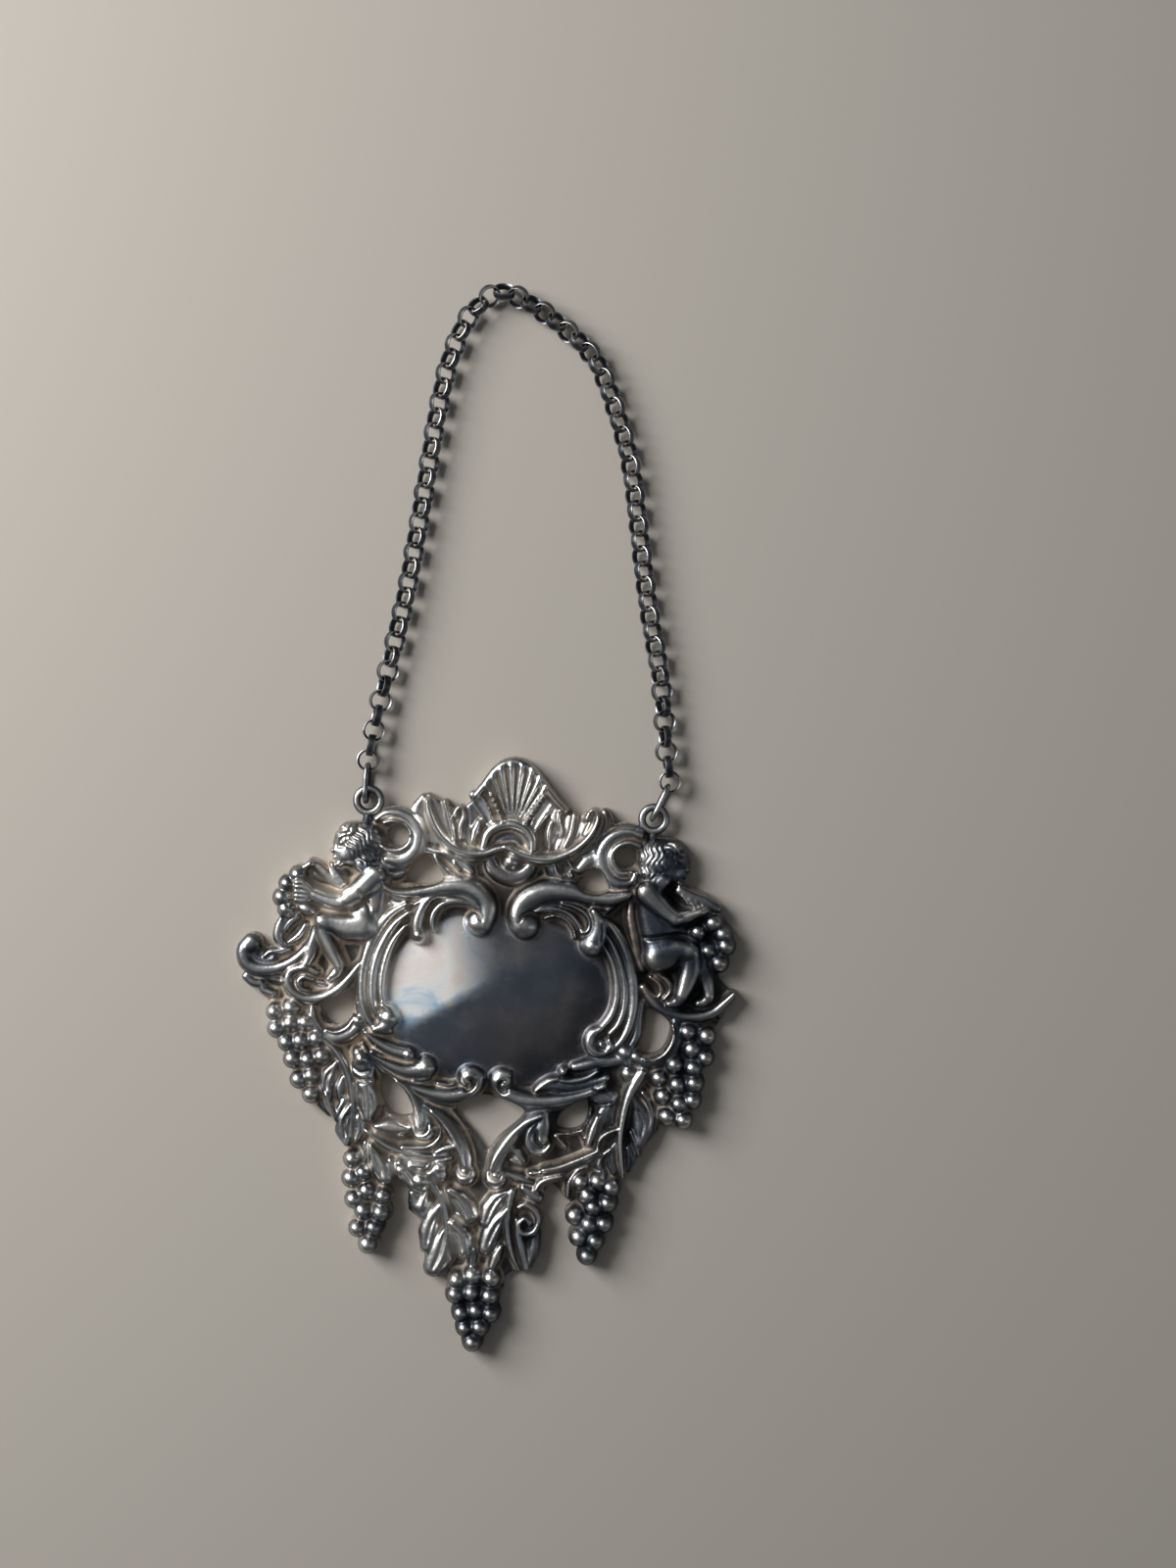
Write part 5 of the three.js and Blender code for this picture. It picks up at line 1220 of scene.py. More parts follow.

# Spots on the plate: place, radius and strength
WARM_SPOTS = [
    ((16.2, 11.4), 0.8, 0.9), ((16.4, 10.0), 0.8, 1.0), ((16.9, 8.4), 0.8, 1.0),
    ((17.4, 6.6), 0.8, 1.0), ((17.9, 4.9), 0.7, 0.8), ((20.2, 2.2), 1.8, 1.0),
    ((5.6, 26.2), 1.3, 0.8), ((7.0, 24.6), 1.2, 0.7), ((-23.6, 14.6), 1.6, 0.6),
    ((-19.0, 4.2), 1.2, 0.6), ((-23.0, 3.0), 1.6, 0.4), ((0.4, 13.2), 1.4, 0.6),
    ((-16.2, 10.0), 1.2, 0.6), ((-25.6, 0.4), 2.4, 0.4), ((-17.4, -7.4), 1.8, 0.5),
    ((0.6, 16.0), 2.4, 0.25), ((23.8, 13.4), 1.6, 0.3), ((-12.8, -18.8), 1.2, 0.4),
    ((9.6, -22.0), 3.0, 0.3), ((-22.0, -11.6), 1.8, 0.4), ((12.8, 22.6), 1.2, 0.6),
]
# darker spots, most of them on the right away from the light: heavier tarnish and painted shade
DARK_SPOTS = [
    ((24.0, 4.0), 7.5, 0.8), ((21.0, 18.6), 3.6, 0.8), ((28.0, 8.0), 4.0, 0.6),
    ((26.5, -9.0), 6.0, 0.7), ((15.4, -27.0), 4.6, 0.8), ((13.4, -33.0), 2.4, 1.0),
    ((6.0, -31.0), 4.0, 0.6), ((0.0, -42.0), 5.5, 0.9), ((19.0, -18.0), 3.6, 0.6),
    ((-13.0, -31.0), 3.0, 0.6), ((6.0, 13.0), 5.0, 0.5), ((-2.0, 12.0), 3.0, 0.5),
    ((8.0, -3.0), 9.0, 0.45), ((0.0, -8.0), 6.0, 0.5), ((-18.0, 17.6), 2.4, 0.5),
    ((6.0, -18.0), 5.0, 0.5), ((20.0, 11.0), 4.0, 0.7), ((14.0, 8.0), 5.0, 0.4),
    ((12.0, -13.0), 5.0, 0.4), ((-25.0, -9.0), 4.0, 0.3), ((-32.0, 3.0), 3.0, 0.4),
    ((13.0, -10.0), 4.0, 0.4),
]
# painted highlights: lighter silver with its painted shade cleared
BRIGHT_SPOTS = [
    ((1.6, 25.2), 3.6, 0.9), ((-8.6, 21.4), 4.2, 0.8), ((5.0, 22.0), 3.6, 0.7),
    ((-14.2, 18.8), 2.8, 0.7), ((-25.6, 11.4), 2.2, 0.6), ((-10.0, 2.0), 7.0, 1.0),
    ((-15.8, 1.0), 3.0, 0.6), ((18.0, 18.0), 1.8, 0.8), ((13.2, 17.0), 1.8, 0.6),
    ((-20.8, 10.4), 2.6, 0.4), ((-7.4, -28.4), 2.6, 0.7), ((-12.4, -18.2), 2.4, 0.9),
    ((3.2, -18.6), 2.2, 0.9), ((0.4, -22.4), 1.8, 0.9), ((-2.6, -28.4), 1.8, 0.9),
    ((-2.6, -32.4), 1.6, 0.8), ((-14.0, -23.4), 1.6, 0.8), ((-9.2, -16.6), 1.8, 0.8),
    ((-9.0, -24.2), 3.2, 0.9), ((1.0, -28.0), 2.4, 0.5), ((15.6, 1.0), 2.2, 0.5),
    ((18.0, -10.4), 1.8, 0.7), ((-5.8, -34.8), 2.2, 0.7), ((24.2, 13.2), 1.6, 0.7),
    ((-16.0, -14.0), 2.6, 0.4), ((0.6, 16.8), 1.6, 0.7),
]


def spots(x, y, places):
    total = np.zeros_like(x)
    for (cx, cy), radius, strength in places:
        total += strength * np.exp(-(((x - cx) ** 2 + (y - cy) ** 2) / radius**2))
    return np.clip(total, 0, 1)


def mark_plate(mesh, relief):
    """Values for the finish and the painted light: painted shade on lee flanks, in recesses, on walls
    and round the rim, grime with painted shadow in the low ground, rubbed heights, dark spots with
    painted shade, painted highlights, warm spots and the painted reflection on the panel.
    """
    x, y, z = corner_points(mesh).T
    weight = np.clip(relief.cover / relief.pitch + 0.5, 0, 1)

    def below(spread):
        """How far the face lies below the mean of what is round it."""
        total = relief.soften(relief.height * weight, spread)
        return total / np.maximum(relief.soften(weight, spread), 0.05) - relief.height

    def at_points(grid, most=1):
        return relief.sample(np.clip(grid, 0, most), x, y)

    wide = below(RUB_REACH)
    fine = below(CREASE_REACH)
    down, across = np.gradient(relief.soften(relief.height, SLOPE_REACH), relief.pitch)
    crease = at_points((fine - CREASE_START) / CREASE_SPAN)
    rubbed = at_points(-wide / RUB_SPAN)
    slope = np.hypot(down, across)
    # painted shade, over some tarnish, on the flanks: more on the side of each form that faces away
    # from the light than on the side that faces it
    wiped = (down * WIPED_FROM[1] + across * WIPED_FROM[0]) / np.maximum(slope, 0.05)
    lee = LEE_BASE + LEE_SWING * wiped
    steep = relief.sample(np.clip(slope / STEEP_SLOPE - STEEP_START, 0, 1) * lee, x, y)
    # painted shade in the hollows, where shade falls, over the tarnish that they hold
    hollow = at_points((below(HOLLOW_REACH) - HOLLOW_START) / HOLLOW_SPAN, HOLLOW_MOST)
    floor = at_points((FLOOR_TOP - relief.height) / FLOOR_SPAN)
    # painted shade round the outer edge
    rim = at_points((RIM_REACH - relief.cover) / RIM_REACH)
    panel = np.hypot((x - PANEL_CENTRE[0]) / PANEL_HALF[0], (y - PANEL_CENTRE[1]) / PANEL_HALF[1])
    on_panel = np.clip((PANEL_EDGE - panel) / PANEL_SPAN, 0, 1)
    on_panel *= relief.sample(relief.height, x, y) < PANEL_TOP
    back = z < BACK_TOP
    bright = spots(x, y, BRIGHT_SPOTS)
    # the painted shade of flanks, hollows and rim, cleared in part under the painted highlights
    shade = np.maximum(np.maximum(steep, hollow) * (1 - BRIGHT_CLEARS * bright), rim)
    # a painted reflection of the light, with iridescent tints, on the left end of the panel, up to a
    # slanting edge
    above = FILM_SLANT[1] * (y - FILM_CORNER[1]) - FILM_SLANT[0] * (x - FILM_CORNER[0])
    left = FILM_RIGHT - x - FILM_LEAN * np.clip(y - 1, 0, None)
    film = np.clip(above / FILM_EDGE, 0, 1) * np.clip(left / FILM_FADE, 0, 1)
    # the walls get full painted shade; the low ground gets grime with painted shadow, less on the
    # panel and at the rim
    write_values(
        mesh,
        ground=np.where(back, BACK_GROUND, floor * (1 - on_panel) * (1 - RIM_CLEARS * rim)),
        steep=np.where(back, BACK_STEEP, np.where(z < WALL_TOP, 1.0, shade)),
        crease=np.where(back, 0, crease),
        rubbed=np.where(back, BACK_RUBBED, rubbed),
        panel=np.where(back, 0, on_panel),
        warm=spots(x, y, WARM_SPOTS),
        dark=spots(x, y, DARK_SPOTS),
        bright=bright,
        film=film * on_panel,
    )


def smooth_shaded(mesh, angle):
    mesh.polygons.foreach_set("use_smooth", np.ones(len(mesh.polygons), bool))
    mesh.set_sharp_from_angle(angle=math.radians(angle))
    mesh.update()


def placed(name, mesh, body, slot, material, *nodes):
    """Puts a finished mesh in the scene, on its body, in place of the solids it stands for."""
    piece = mesh if isinstance(mesh, bpy.types.Object) else bpy.data.objects.new(name, mesh)
    if piece.name not in bpy.context.scene.collection.objects:
        bpy.context.scene.collection.objects.link(piece)
    piece.name = name
    piece.data.materials.clear()
    piece.data.materials.append(material)
    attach(piece, body)
    if nodes:
        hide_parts(*nodes)
    return piece


def round_angles(count):
    return np.linspace(0, 2 * math.pi, count, endpoint=False)


def wire_section(radius):
    return [(radius * math.cos(a), radius * math.sin(a)) for a in round_angles(WIRE_SIDES)]


def band_between(first, second, count):
    """Triangles between two rings of points, given where each ring starts."""
    faces = []
    for j in range(count):
        k = (j + 1) % count
        faces.append((first + j, first + k, second + k))
        faces.append((first + j, second + k, second + j))
    return faces


def swept_ring(path, section, frames):
    """A closed tube: its section round each point of the path, in the two directions there."""
    points = []
    for centre, (first, second) in zip(path, frames):
        for u, v in section:
            points.append(centre + first * u + second * v)
    n = len(path)
    m = len(section)
    faces = []
    for i in range(n):
        faces += band_between(i * m, (i + 1) % n * m, m)
    return np.array(points), np.array(faces)


def eye_points(centre):
    """Round eye that a jump ring goes through."""
    ways = [np.array([math.cos(t), math.sin(t), 0]) for t in round_angles(EYE_STEPS)]
    middle = np.array([centre[0], centre[1], EYE_HEIGHT])
    path = [middle + way * EYE_RADIUS for way in ways]
    up = np.array([0, 0, 1.0])
    return swept_ring(path, wire_section(EYE_WIRE), [(way, up) for way in ways])


def neck_points(centre):
    """Neck below an eye, sunk into the plate, with its two ends closed."""
    start = centre[1] - EYE_RADIUS + NECK_OVERLAP
    points = []
    for t in np.linspace(0, 1, NECK_RINGS):
        half = NECK_HALF + NECK_SPREAD * t
        y = start - NECK_LENGTH * t
        height = NECK_HEIGHT - NECK_DROP * t
        for a in round_angles(WIRE_SIDES):
            points.append((centre[0] + half * math.cos(a), y, height + NECK_THICK * math.sin(a)))
    m = WIRE_SIDES
    faces = []
    for i in range(NECK_RINGS - 1):
        faces += band_between(i * m, (i + 1) * m, m)
    first = len(points)
    points = np.array(points)
    points = np.vstack([points, points[:m].mean(0), points[-m:].mean(0)])
    for j in range(m):
        k = (j + 1) % m
        faces.append((first, k, j))
        faces.append((first + 1, first - m + j, first - m + k))
    return points, np.array(faces)


def suspension(eye, seat, lean):
    """Where a jump ring and the first link on it lie."""
    angle = math.radians(seat)
    turn = math.radians(lean)
    along = np.array([math.sin(turn), math.cos(turn), 0.0])
    wire = np.array([eye[0] + EYE_RADIUS * math.cos(angle), eye[1] + EYE_RADIUS * math.sin(angle),
                     RING_BORE + 2 * RING_WIRE])
    middle = wire + along * (RING_STRAIGHT / 2 - RING_DROP)
    reach = RING_STRAIGHT / 2 + RING_BORE - RING_PLAY + LINK_BORE
    return middle, along, middle + along * reach


def jump_ring_mesh(name, middle, along):
    """Oval ring of round wire, standing on edge."""
    up = np.array([0, 0, 1.0])
    across = np.cross(along, up)
    radius = RING_BORE + RING_WIRE
    path = []
    frames = []
    for end, first in ((1, 0), (-1, math.pi)):
        for t in np.linspace(0, math.pi, RING_STEPS):
            angle = first + t
            way = along * math.sin(angle) + up * math.cos(angle)
            path.append(middle + along * end * RING_STRAIGHT / 2 + way * radius)
            frames.append((way, across))
    points, faces = swept_ring(path, wire_section(RING_WIRE_SHOWN * RING_WIRE), frames)
    mesh = mesh_of_triangles(name, points, faces)
    rub = np.clip(np.cos(round_angles(WIRE_SIDES)), 0, 1)
    write_values(mesh, rubbed=np.tile(rub, len(path)), shade=1.0)
    smooth_shaded(mesh, WIRE_SHARP)
    return mesh


def link_section():
    """Round-shouldered band: distance from the bore's middle, place across, and its rub."""
    inner = LINK_INNER_WIDTH / 2
    outer = LINK_OUTER_WIDTH / 2
    far = LINK_BORE + LINK_WALL
    half = [
        (far - 0.01, outer * 0.6, 0.45), (far - 0.03, outer * 0.9, 1.0),
        (far - 0.1, outer * 0.96, 0.8), (LINK_BORE + 0.05, inner * 1.05, 0.35),
        (LINK_BORE, inner * 0.8, 0.1),
    ]
    other = [(u, -v, rub) for u, v, rub in reversed(half)]
    return [*other, (far, 0, 0.3), *half, (LINK_BORE, 0, 0.0)]


def link_mesh(name, place, shade):
    """One round belcher link, set by its place along the chain."""
    centre, along, axis, across = place
    section = link_section()
    frames = [(along * math.cos(t) + across * math.sin(t), axis) for t in round_angles(LINK_STEPS)]
    path = [centre] * len(frames)
    points, faces = swept_ring(path, [(u, v) for u, v, _ in section], frames)
    mesh = mesh_of_triangles(name, points, faces[:, ::-1])
    write_values(mesh, rubbed=np.tile([rub for _, _, rub in section], len(path)), shade=shade)
    smooth_shaded(mesh, LINK_SHARP)
    return mesh


def centripetal(points, t):
    """Points of the same curve as the part's source draws through its route."""
    points = np.array(points, float)
    spans = len(points) - 1
    where = np.clip(np.asarray(t) * spans, 0, spans)
    i = np.minimum(where.astype(int), spans - 1)
    w = where - i
    padded = np.vstack([2 * points[0] - points[1], points, 2 * points[-1] - points[-2]])
    a, b, c, d = padded[i], padded[i + 1], padded[i + 2], padded[i + 3]
    ab = (((a - b) ** 2).sum(1) ** 0.25)[:, None]
    bc = (((b - c) ** 2).sum(1) ** 0.25)[:, None]
    cd = (((c - d) ** 2).sum(1) ** 0.25)[:, None]
    start = ((b - a) / ab - (c - a) / (ab + bc) + (c - b) / bc) * bc
    end = ((c - b) / bc - (d - b) / (bc + cd) + (d - c) / cd) * bc
    w = w[:, None]
    return (b + start * w + (-3 * b + 3 * c - 2 * start - end) * w**2
            + (2 * b - 2 * c + start + end) * w**3)


def chain_places():
    """Middle and directions of every link, worked out as the part's source does it."""
    first = suspension(EYE_LEFT, SEAT_LEFT, LEAN_LEFT)[2]
    last = suspension(EYE_RIGHT, SEAT_RIGHT, LEAN_RIGHT)[2]
    wanted = (LINK_COUNT - 1) * (2 * LINK_BORE - LINK_PLAY)
    foot = max(first[1], last[1])
    height = math.hypot(LINK_BORE + LINK_WALL, LINK_OUTER_WIDTH / 2) + TABLE_GAP
    even = np.linspace(0, 1, ROUTE_STEPS)

    def route(factor):
        inner = [(x, foot + (y - foot) * factor, height) for x, y in ROUTE]
        return [first, *inner, last]

    def lengths(points):
        steps = np.linalg.norm(np.diff(centripetal(points, even), axis=0), axis=1)
        return np.concatenate([[0], np.cumsum(steps)])

    # stretch the route up or down until the links just fill it
    low, high = ROUTE_STRETCH
    for _ in range(40):
        factor = (low + high) / 2
        if lengths(route(factor))[-1] > wanted:
            high = factor
        else:
            low = factor
    points = route((low + high) / 2)
    grown = lengths(points)
    at = np.interp(np.linspace(0, 1, LINK_COUNT) * grown[-1], grown, even)
    centres = centripetal(points, at)
    ahead = centripetal(points, np.clip(at + AHEAD, 0, 1))
    behind = centripetal(points, np.clip(at - AHEAD, 0, 1))
    places = []
    for i in range(LINK_COUNT):
        along = ahead[i] - behind[i]
        along /= np.linalg.norm(along)
        side = 1 if i % 2 == 0 else -1
        from_first = max(0, 1 - i / SETTLING_LINKS)
        from_last = max(0, 1 - (LINK_COUNT - 1 - i) / SETTLING_LINKS)
        turn = math.radians(LINK_TURN * (side - from_first + from_last))
        axis = np.array(Matrix.Rotation(turn, 3, Vector(along)) @ Vector((0, 0, 1)))
        across = np.cross(along, axis)
        places.append((centres[i], along, axis, across))
    return places


# Finishes

# Colours, linear; those with a place first are the stops of a ramp
TARNISH_STOPS = [(0.0, (0.13, 0.15, 0.185)), (0.5, (0.42, 0.445, 0.485)), (1.0, (0.93, 0.93, 0.92))]
# dull tone of the dark spots: tarnish and painted shade on the plate, tarnish on the chain
DULL_TARNISH = (0.10, 0.115, 0.145)
WORN_SILVER = (0.97, 0.96, 0.93)
WARM_TARNISH = (0.76, 0.59, 0.46)
# near-black of the painted shade and tarnish on the plate, of the eyes' darker lower parts, and of
# the chain's oxide
FLANK_TARNISH = (0.035, 0.04, 0.05)
# grime with painted shadow in the low ground and creases
BROWN_SOIL = (0.06, 0.053, 0.046)
BLACK_SOIL = (0.02, 0.018, 0.018)
CREAM_POLISH = (0.92, 0.79, 0.65)
# near-white painted reflection with iridescent tints
FILM_STOPS = [(0.38, (0.46, 0.65, 0.86)), (0.47, (0.90, 0.93, 0.96)), (0.56, (0.97, 0.95, 0.92)),
              (0.68, (0.93, 0.78, 0.74))]
PANEL_STOPS = [(0.40, (0.19, 0.22, 0.275)), (0.58, (0.24, 0.23, 0.25))]

# How strongly each value of a surface acts on its colour, its roughness and its metal
BRIGHT_LIFT = 0.9
DARK_DROP = -0.8
DULL_SHARE = 0.55
WORN_SHARE = 0.85
WORN_IN_DARK = -0.25
WARM_SHARE = 0.6
FLANK_SHARE = 0.9
BLACK_SHARE = 1.5
SOIL_SHARE = 0.85
CREAM_SHARE = 0.78
CREAM_IN_DARK = -1.6
CREAM_IN_BRIGHT = -0.75
ROUGH_BASE = 0.25
ROUGH_IN_CLOUDS = 0.12
ROUGH_ON_FLANKS = 0.10
ROUGH_IN_DARK = 0.06
ROUGH_IN_SOIL = 0.22
METAL_IN_SOIL = -0.65
METAL_IN_FILM = -0.9
PANEL_SHARE = 0.8
PANEL_POLISH = -0.08
SCRATCH_ROUGHNESS = 0.16
SCRATCH_HEIGHT = 0.06
# turn in radians and stretch of each layer of scratches, and sizes of the clouds
STREAKS = ((0.5, 22.0), (2.2, 16.0))
STREAK_SCALE = 900
PATCH_SCALE = 350.0
FILM_SCALE = 150.0
TINGE_SCALE = 90.0
CLOUD_SIZES = (("Clouds", 180.0), ("Grain", 1400.0))
# factor and start that give each noise its contrast
STREAK_CONTRAST = (4.0, -2.2)
PATCH_CONTRAST = (5.0, -2.2)
CLOUD_CONTRAST = (2.6, -0.8)
SOIL_PATCHES = (0.5, 0.6)
# factor and start of what the chain's wear, dark and grime are made of
CHAIN_WEAR = (1.3, 0.2)
CHAIN_DARK = (0.5, 0.7)
CHAIN_GRIME = (-1.3, 0.9)
CHAIN_CLOUD_SCALE = 2.2
PLATE_BUMP = 0.7
CHAIN_BUMP = 0.4
BUMP_DISTANCE = 0.00003


def put(tree, kind, x, y, **values):
    """A node at a place in its tree, with the given settings and socket values."""
    node = tree.nodes.new(kind)
    node.location = (x, y)
    for key, value in values.items():
        if hasattr(node, key):
            setattr(node, key, value)
        else:
            node.inputs[key.replace("_", " ")].default_value = value
    return node


def feed(tree, socket, value):
    """Links an output to a socket, or sets a plain value there; None leaves it as it is."""
    if isinstance(value, bpy.types.NodeSocket):
        tree.links.new(value, socket)
    elif isinstance(value, tuple):
        socket.default_value = (*value, 1)
    elif value is not None:
        socket.default_value = value


def connect(tree, node, **sources):
    """Links outputs to the inputs of a node by name."""
    for name, source in sources.items():
        tree.links.new(source, node.inputs[name.replace("_", " ")])


def noise(tree, x, y, vector, **values):
    node = put(tree, "ShaderNodeTexNoise", x, y, **values)
    connect(tree, node, Vector=vector)
    return node


def ramp(tree, x, y, factor, stops):
    node = put(tree, "ShaderNodeValToRGB", x, y)
    band = node.color_ramp.elements
    while len(band) < len(stops):
        band.new(0.5)
    for element, (position, colour) in zip(band, stops):
        element.position = position
        element.color = (*colour, 1)
    connect(tree, node, Fac=factor)
    return node.outputs["Color"]


def mixed(tree, x, y, factor, first, second):
    """A colour mix; factor, first and second are sockets or plain values."""
    node = put(tree, "ShaderNodeMix", x, y, data_type="RGBA")
    for place, value in ((0, factor), (6, first), (7, second)):
        feed(tree, node.inputs[place], value)
    return node.outputs[2]


def maths(tree, x, y, operation, first, second=None, third=None, clamp=False):
    node = put(tree, "ShaderNodeMath", x, y, operation=operation, use_clamp=clamp)
    for socket, value in zip(node.inputs, (first, second, third)):
        feed(tree, socket, value)
    return node.outputs[0]


def bumped(tree, x, y, height, strength):
    node = put(tree, "ShaderNodeBump", x, y, Strength=strength, Distance=BUMP_DISTANCE)
    connect(tree, node, Height=height)
    return node.outputs["Normal"]


def group_named(name, inputs, outputs):
    """A shader group with the given inputs and outputs, the sockets inside it and its end node."""
    group = bpy.data.node_groups.new(name, "ShaderNodeTree")
    for label, usual in inputs.items():
        socket = group.interface.new_socket(
            name=label, in_out="INPUT", socket_type="NodeSocketFloat")
        socket.default_value = usual
    for label, kind in outputs.items():
        group.interface.new_socket(name=label, in_out="OUTPUT", socket_type="NodeSocket" + kind)
    source = put(group, "NodeGroupInput", -1200, 0)
    drain = put(group, "NodeGroupOutput", 900, 0)
    return group, source.outputs, drain


def scratches_group():
    """Mask of fine polishing scratches in two directions."""
    group, given, out = group_named("Fine scratches", {"Amount": 1.0}, {"Mask": "Float"})
    where = put(group, "ShaderNodeTexCoord", -1200, -300).outputs["Object"]
    layers = []
    for k, (turn, stretch) in enumerate(STREAKS):
        spot = put(group, "ShaderNodeMapping", -900, -300 * k, Rotation=(0, 0, turn),
                   Scale=(STREAK_SCALE, STREAK_SCALE * stretch, STREAK_SCALE))
        connect(group, spot, Vector=where)
        streaks = noise(group, -650, -300 * k, spot.outputs["Vector"],
                        Scale=1.0, Detail=3.0, Roughness=0.6).outputs["Fac"]
        layers.append(maths(group, -400, -300 * k, "MULTIPLY_ADD", streaks, *STREAK_CONTRAST, True))
    patch = noise(group, -650, 400, where, Scale=PATCH_SCALE, Detail=2.0).outputs["Fac"]
    spread = maths(group, -400, 400, "MULTIPLY_ADD", patch, *PATCH_CONTRAST, True)
    both = maths(group, -150, 0, "MAXIMUM", *layers)
    shown = maths(group, 50, 0, "MULTIPLY", both, spread)
    connect(group, out, Mask=maths(group, 250, 0, "MULTIPLY", shown, given["Amount"]))
    return group


def mottling_group():
    """Cloudy tarnish at two sizes, from 0 to 1."""
    group, given, out = group_named(
        "Tarnish clouds", {"Scale": 1.0}, {"Clouds": "Float", "Grain": "Float"})
    where = put(group, "ShaderNodeTexCoord", -1200, -300).outputs["Object"]
    for k, (name, size) in enumerate(CLOUD_SIZES):
        scale = maths(group, -900, -250 * k, "MULTIPLY", given["Scale"], size)
        cloud = noise(group, -650, -250 * k, where, Detail=5.0, Roughness=0.62)
        connect(group, cloud, Scale=scale)
        level = maths(group, -400, -250 * k, "MULTIPLY_ADD", cloud.outputs["Fac"],
                      *CLOUD_CONTRAST, True)
        connect(group, out, **{name: level})
    return group


def tarnish_group():
    """Silver's colour and roughness, from how deep, shaded, rubbed, dark, highlighted and warm it is.
    The shade input and the dark spots carry painted shade as well as tarnish, the low ground grime
    with painted shadow, and the highlight input painted highlights.
    """
    group, given, out = group_named(
        "Tarnished silver",
        {"Ground": 0.0, "Crease": 0.0, "Steep": 0.0, "Rubbed": 0.0, "Dark": 0.0, "Bright": 0.0,
         "Warm": 0.0, "Clouds": 0.5, "Grain": 0.5},
        {"Color": "Color", "Roughness": "Float", "Metallic": "Float"},
    )

    def scaled(x, y, name, factor, offset=0.0, clamp=False):
        return maths(group, x, y, "MULTIPLY_ADD", given[name], factor, offset, clamp)

    tone = scaled(-1100, 200, "Bright", BRIGHT_LIFT, given["Clouds"], True)
    tone = scaled(-1000, 100, "Dark", DARK_DROP, tone, True)
    body = ramp(group, -900, 200, tone, TARNISH_STOPS)
    dulled = mixed(group, -600, 200, scaled(-800, -100, "Dark", DULL_SHARE), body, DULL_TARNISH)
    worn = scaled(-900, 0, "Rubbed", WORN_SHARE)
    worn = scaled(-800, 0, "Dark", WORN_IN_DARK, worn, True)
    lifted = mixed(group, -450, 200, worn, dulled, WORN_SILVER)
    warmed = mixed(group, -300, 200, scaled(-600, -200, "Warm", WARM_SHARE), lifted, WARM_TARNISH)
    shaded = mixed(group, -250, 300, scaled(-600, 300, "Steep", FLANK_SHARE), warmed, FLANK_TARNISH)
    # low ground and creases: brown to black grime with painted shadow, and where it is light the
    # cream of dried polish
    black = scaled(-600, -150, "Dark", BLACK_SHARE, clamp=True)
    low = mixed(group, -400, -100, black, BROWN_SOIL, BLACK_SOIL)
    patchy = scaled(-800, -500, "Grain", *SOIL_PATCHES)
    line = scaled(-800, -600, "Crease", patchy)
    soil = maths(group, -600, -450, "MAXIMUM", given["Ground"], line)
    soil = maths(group, -500, -450, "MULTIPLY", soil, SOIL_SHARE, clamp=True)
    grounded = mixed(group, -100, 200, soil, shaded, low)
    cream = scaled(-600, -650, "Dark", CREAM_IN_DARK, 1.0, True)
    cream = maths(group, -550, -650, "MULTIPLY", cream, line)
    silvery = scaled(-600, -750, "Bright", CREAM_IN_BRIGHT, 1.0, True)
    cream = maths(group, -500, -650, "MULTIPLY", cream, silvery)
    cream = maths(group, -400, -650, "MULTIPLY", cream, CREAM_SHARE)
    rough = scaled(-300, -200, "Clouds", ROUGH_IN_CLOUDS, ROUGH_BASE)
    rough = scaled(-200, -200, "Steep", ROUGH_ON_FLANKS, rough)
    rough = scaled(-150, -200, "Dark", ROUGH_IN_DARK, rough)
    connect(
        group, out,
        Color=mixed(group, 50, 200, cream, grounded, CREAM_POLISH),
        Roughness=maths(group, -100, -200, "MULTIPLY_ADD", soil, ROUGH_IN_SOIL, rough, True),
        Metallic=maths(group, 100, -400, "MULTIPLY_ADD", soil, METAL_IN_SOIL, 1.0, True),
    )
    return group


def use_group(tree, group, x, y):
    node = put(tree, "ShaderNodeGroup", x, y)
    node.node_tree = group
    return node


def attribute(tree, name, x, y):
    return put(tree, "ShaderNodeAttribute", x, y, attribute_name=name).outputs["Fac"]


def new_material(name):
    material = bpy.data.materials.new(name)
    material.use_nodes = True
    tree = material.node_tree
    tree.nodes.clear()
    shader = put(tree, "ShaderNodeBsdfPrincipled", 600, 0)
    end = put(tree, "ShaderNodeOutputMaterial", 900, 0)
    connect(tree, end, Surface=shader.outputs["BSDF"])
    return material, tree, shader


def metal(name, groups, cloud_scale):
    """A material with the clouds and the tarnish, painted shade and highlights, that both metals
    share.
    """
    material, tree, shader = new_material(name)
    clouds = use_group(tree, groups["clouds"], -1100, -300)
    clouds.inputs["Scale"].default_value = cloud_scale
    clouds = clouds.outputs
    tarnish = use_group(tree, groups["tarnish"], -500, 100)
    connect(tree, tarnish, Clouds=clouds["Clouds"], Grain=clouds["Grain"])
    return tree, shader, clouds, tarnish


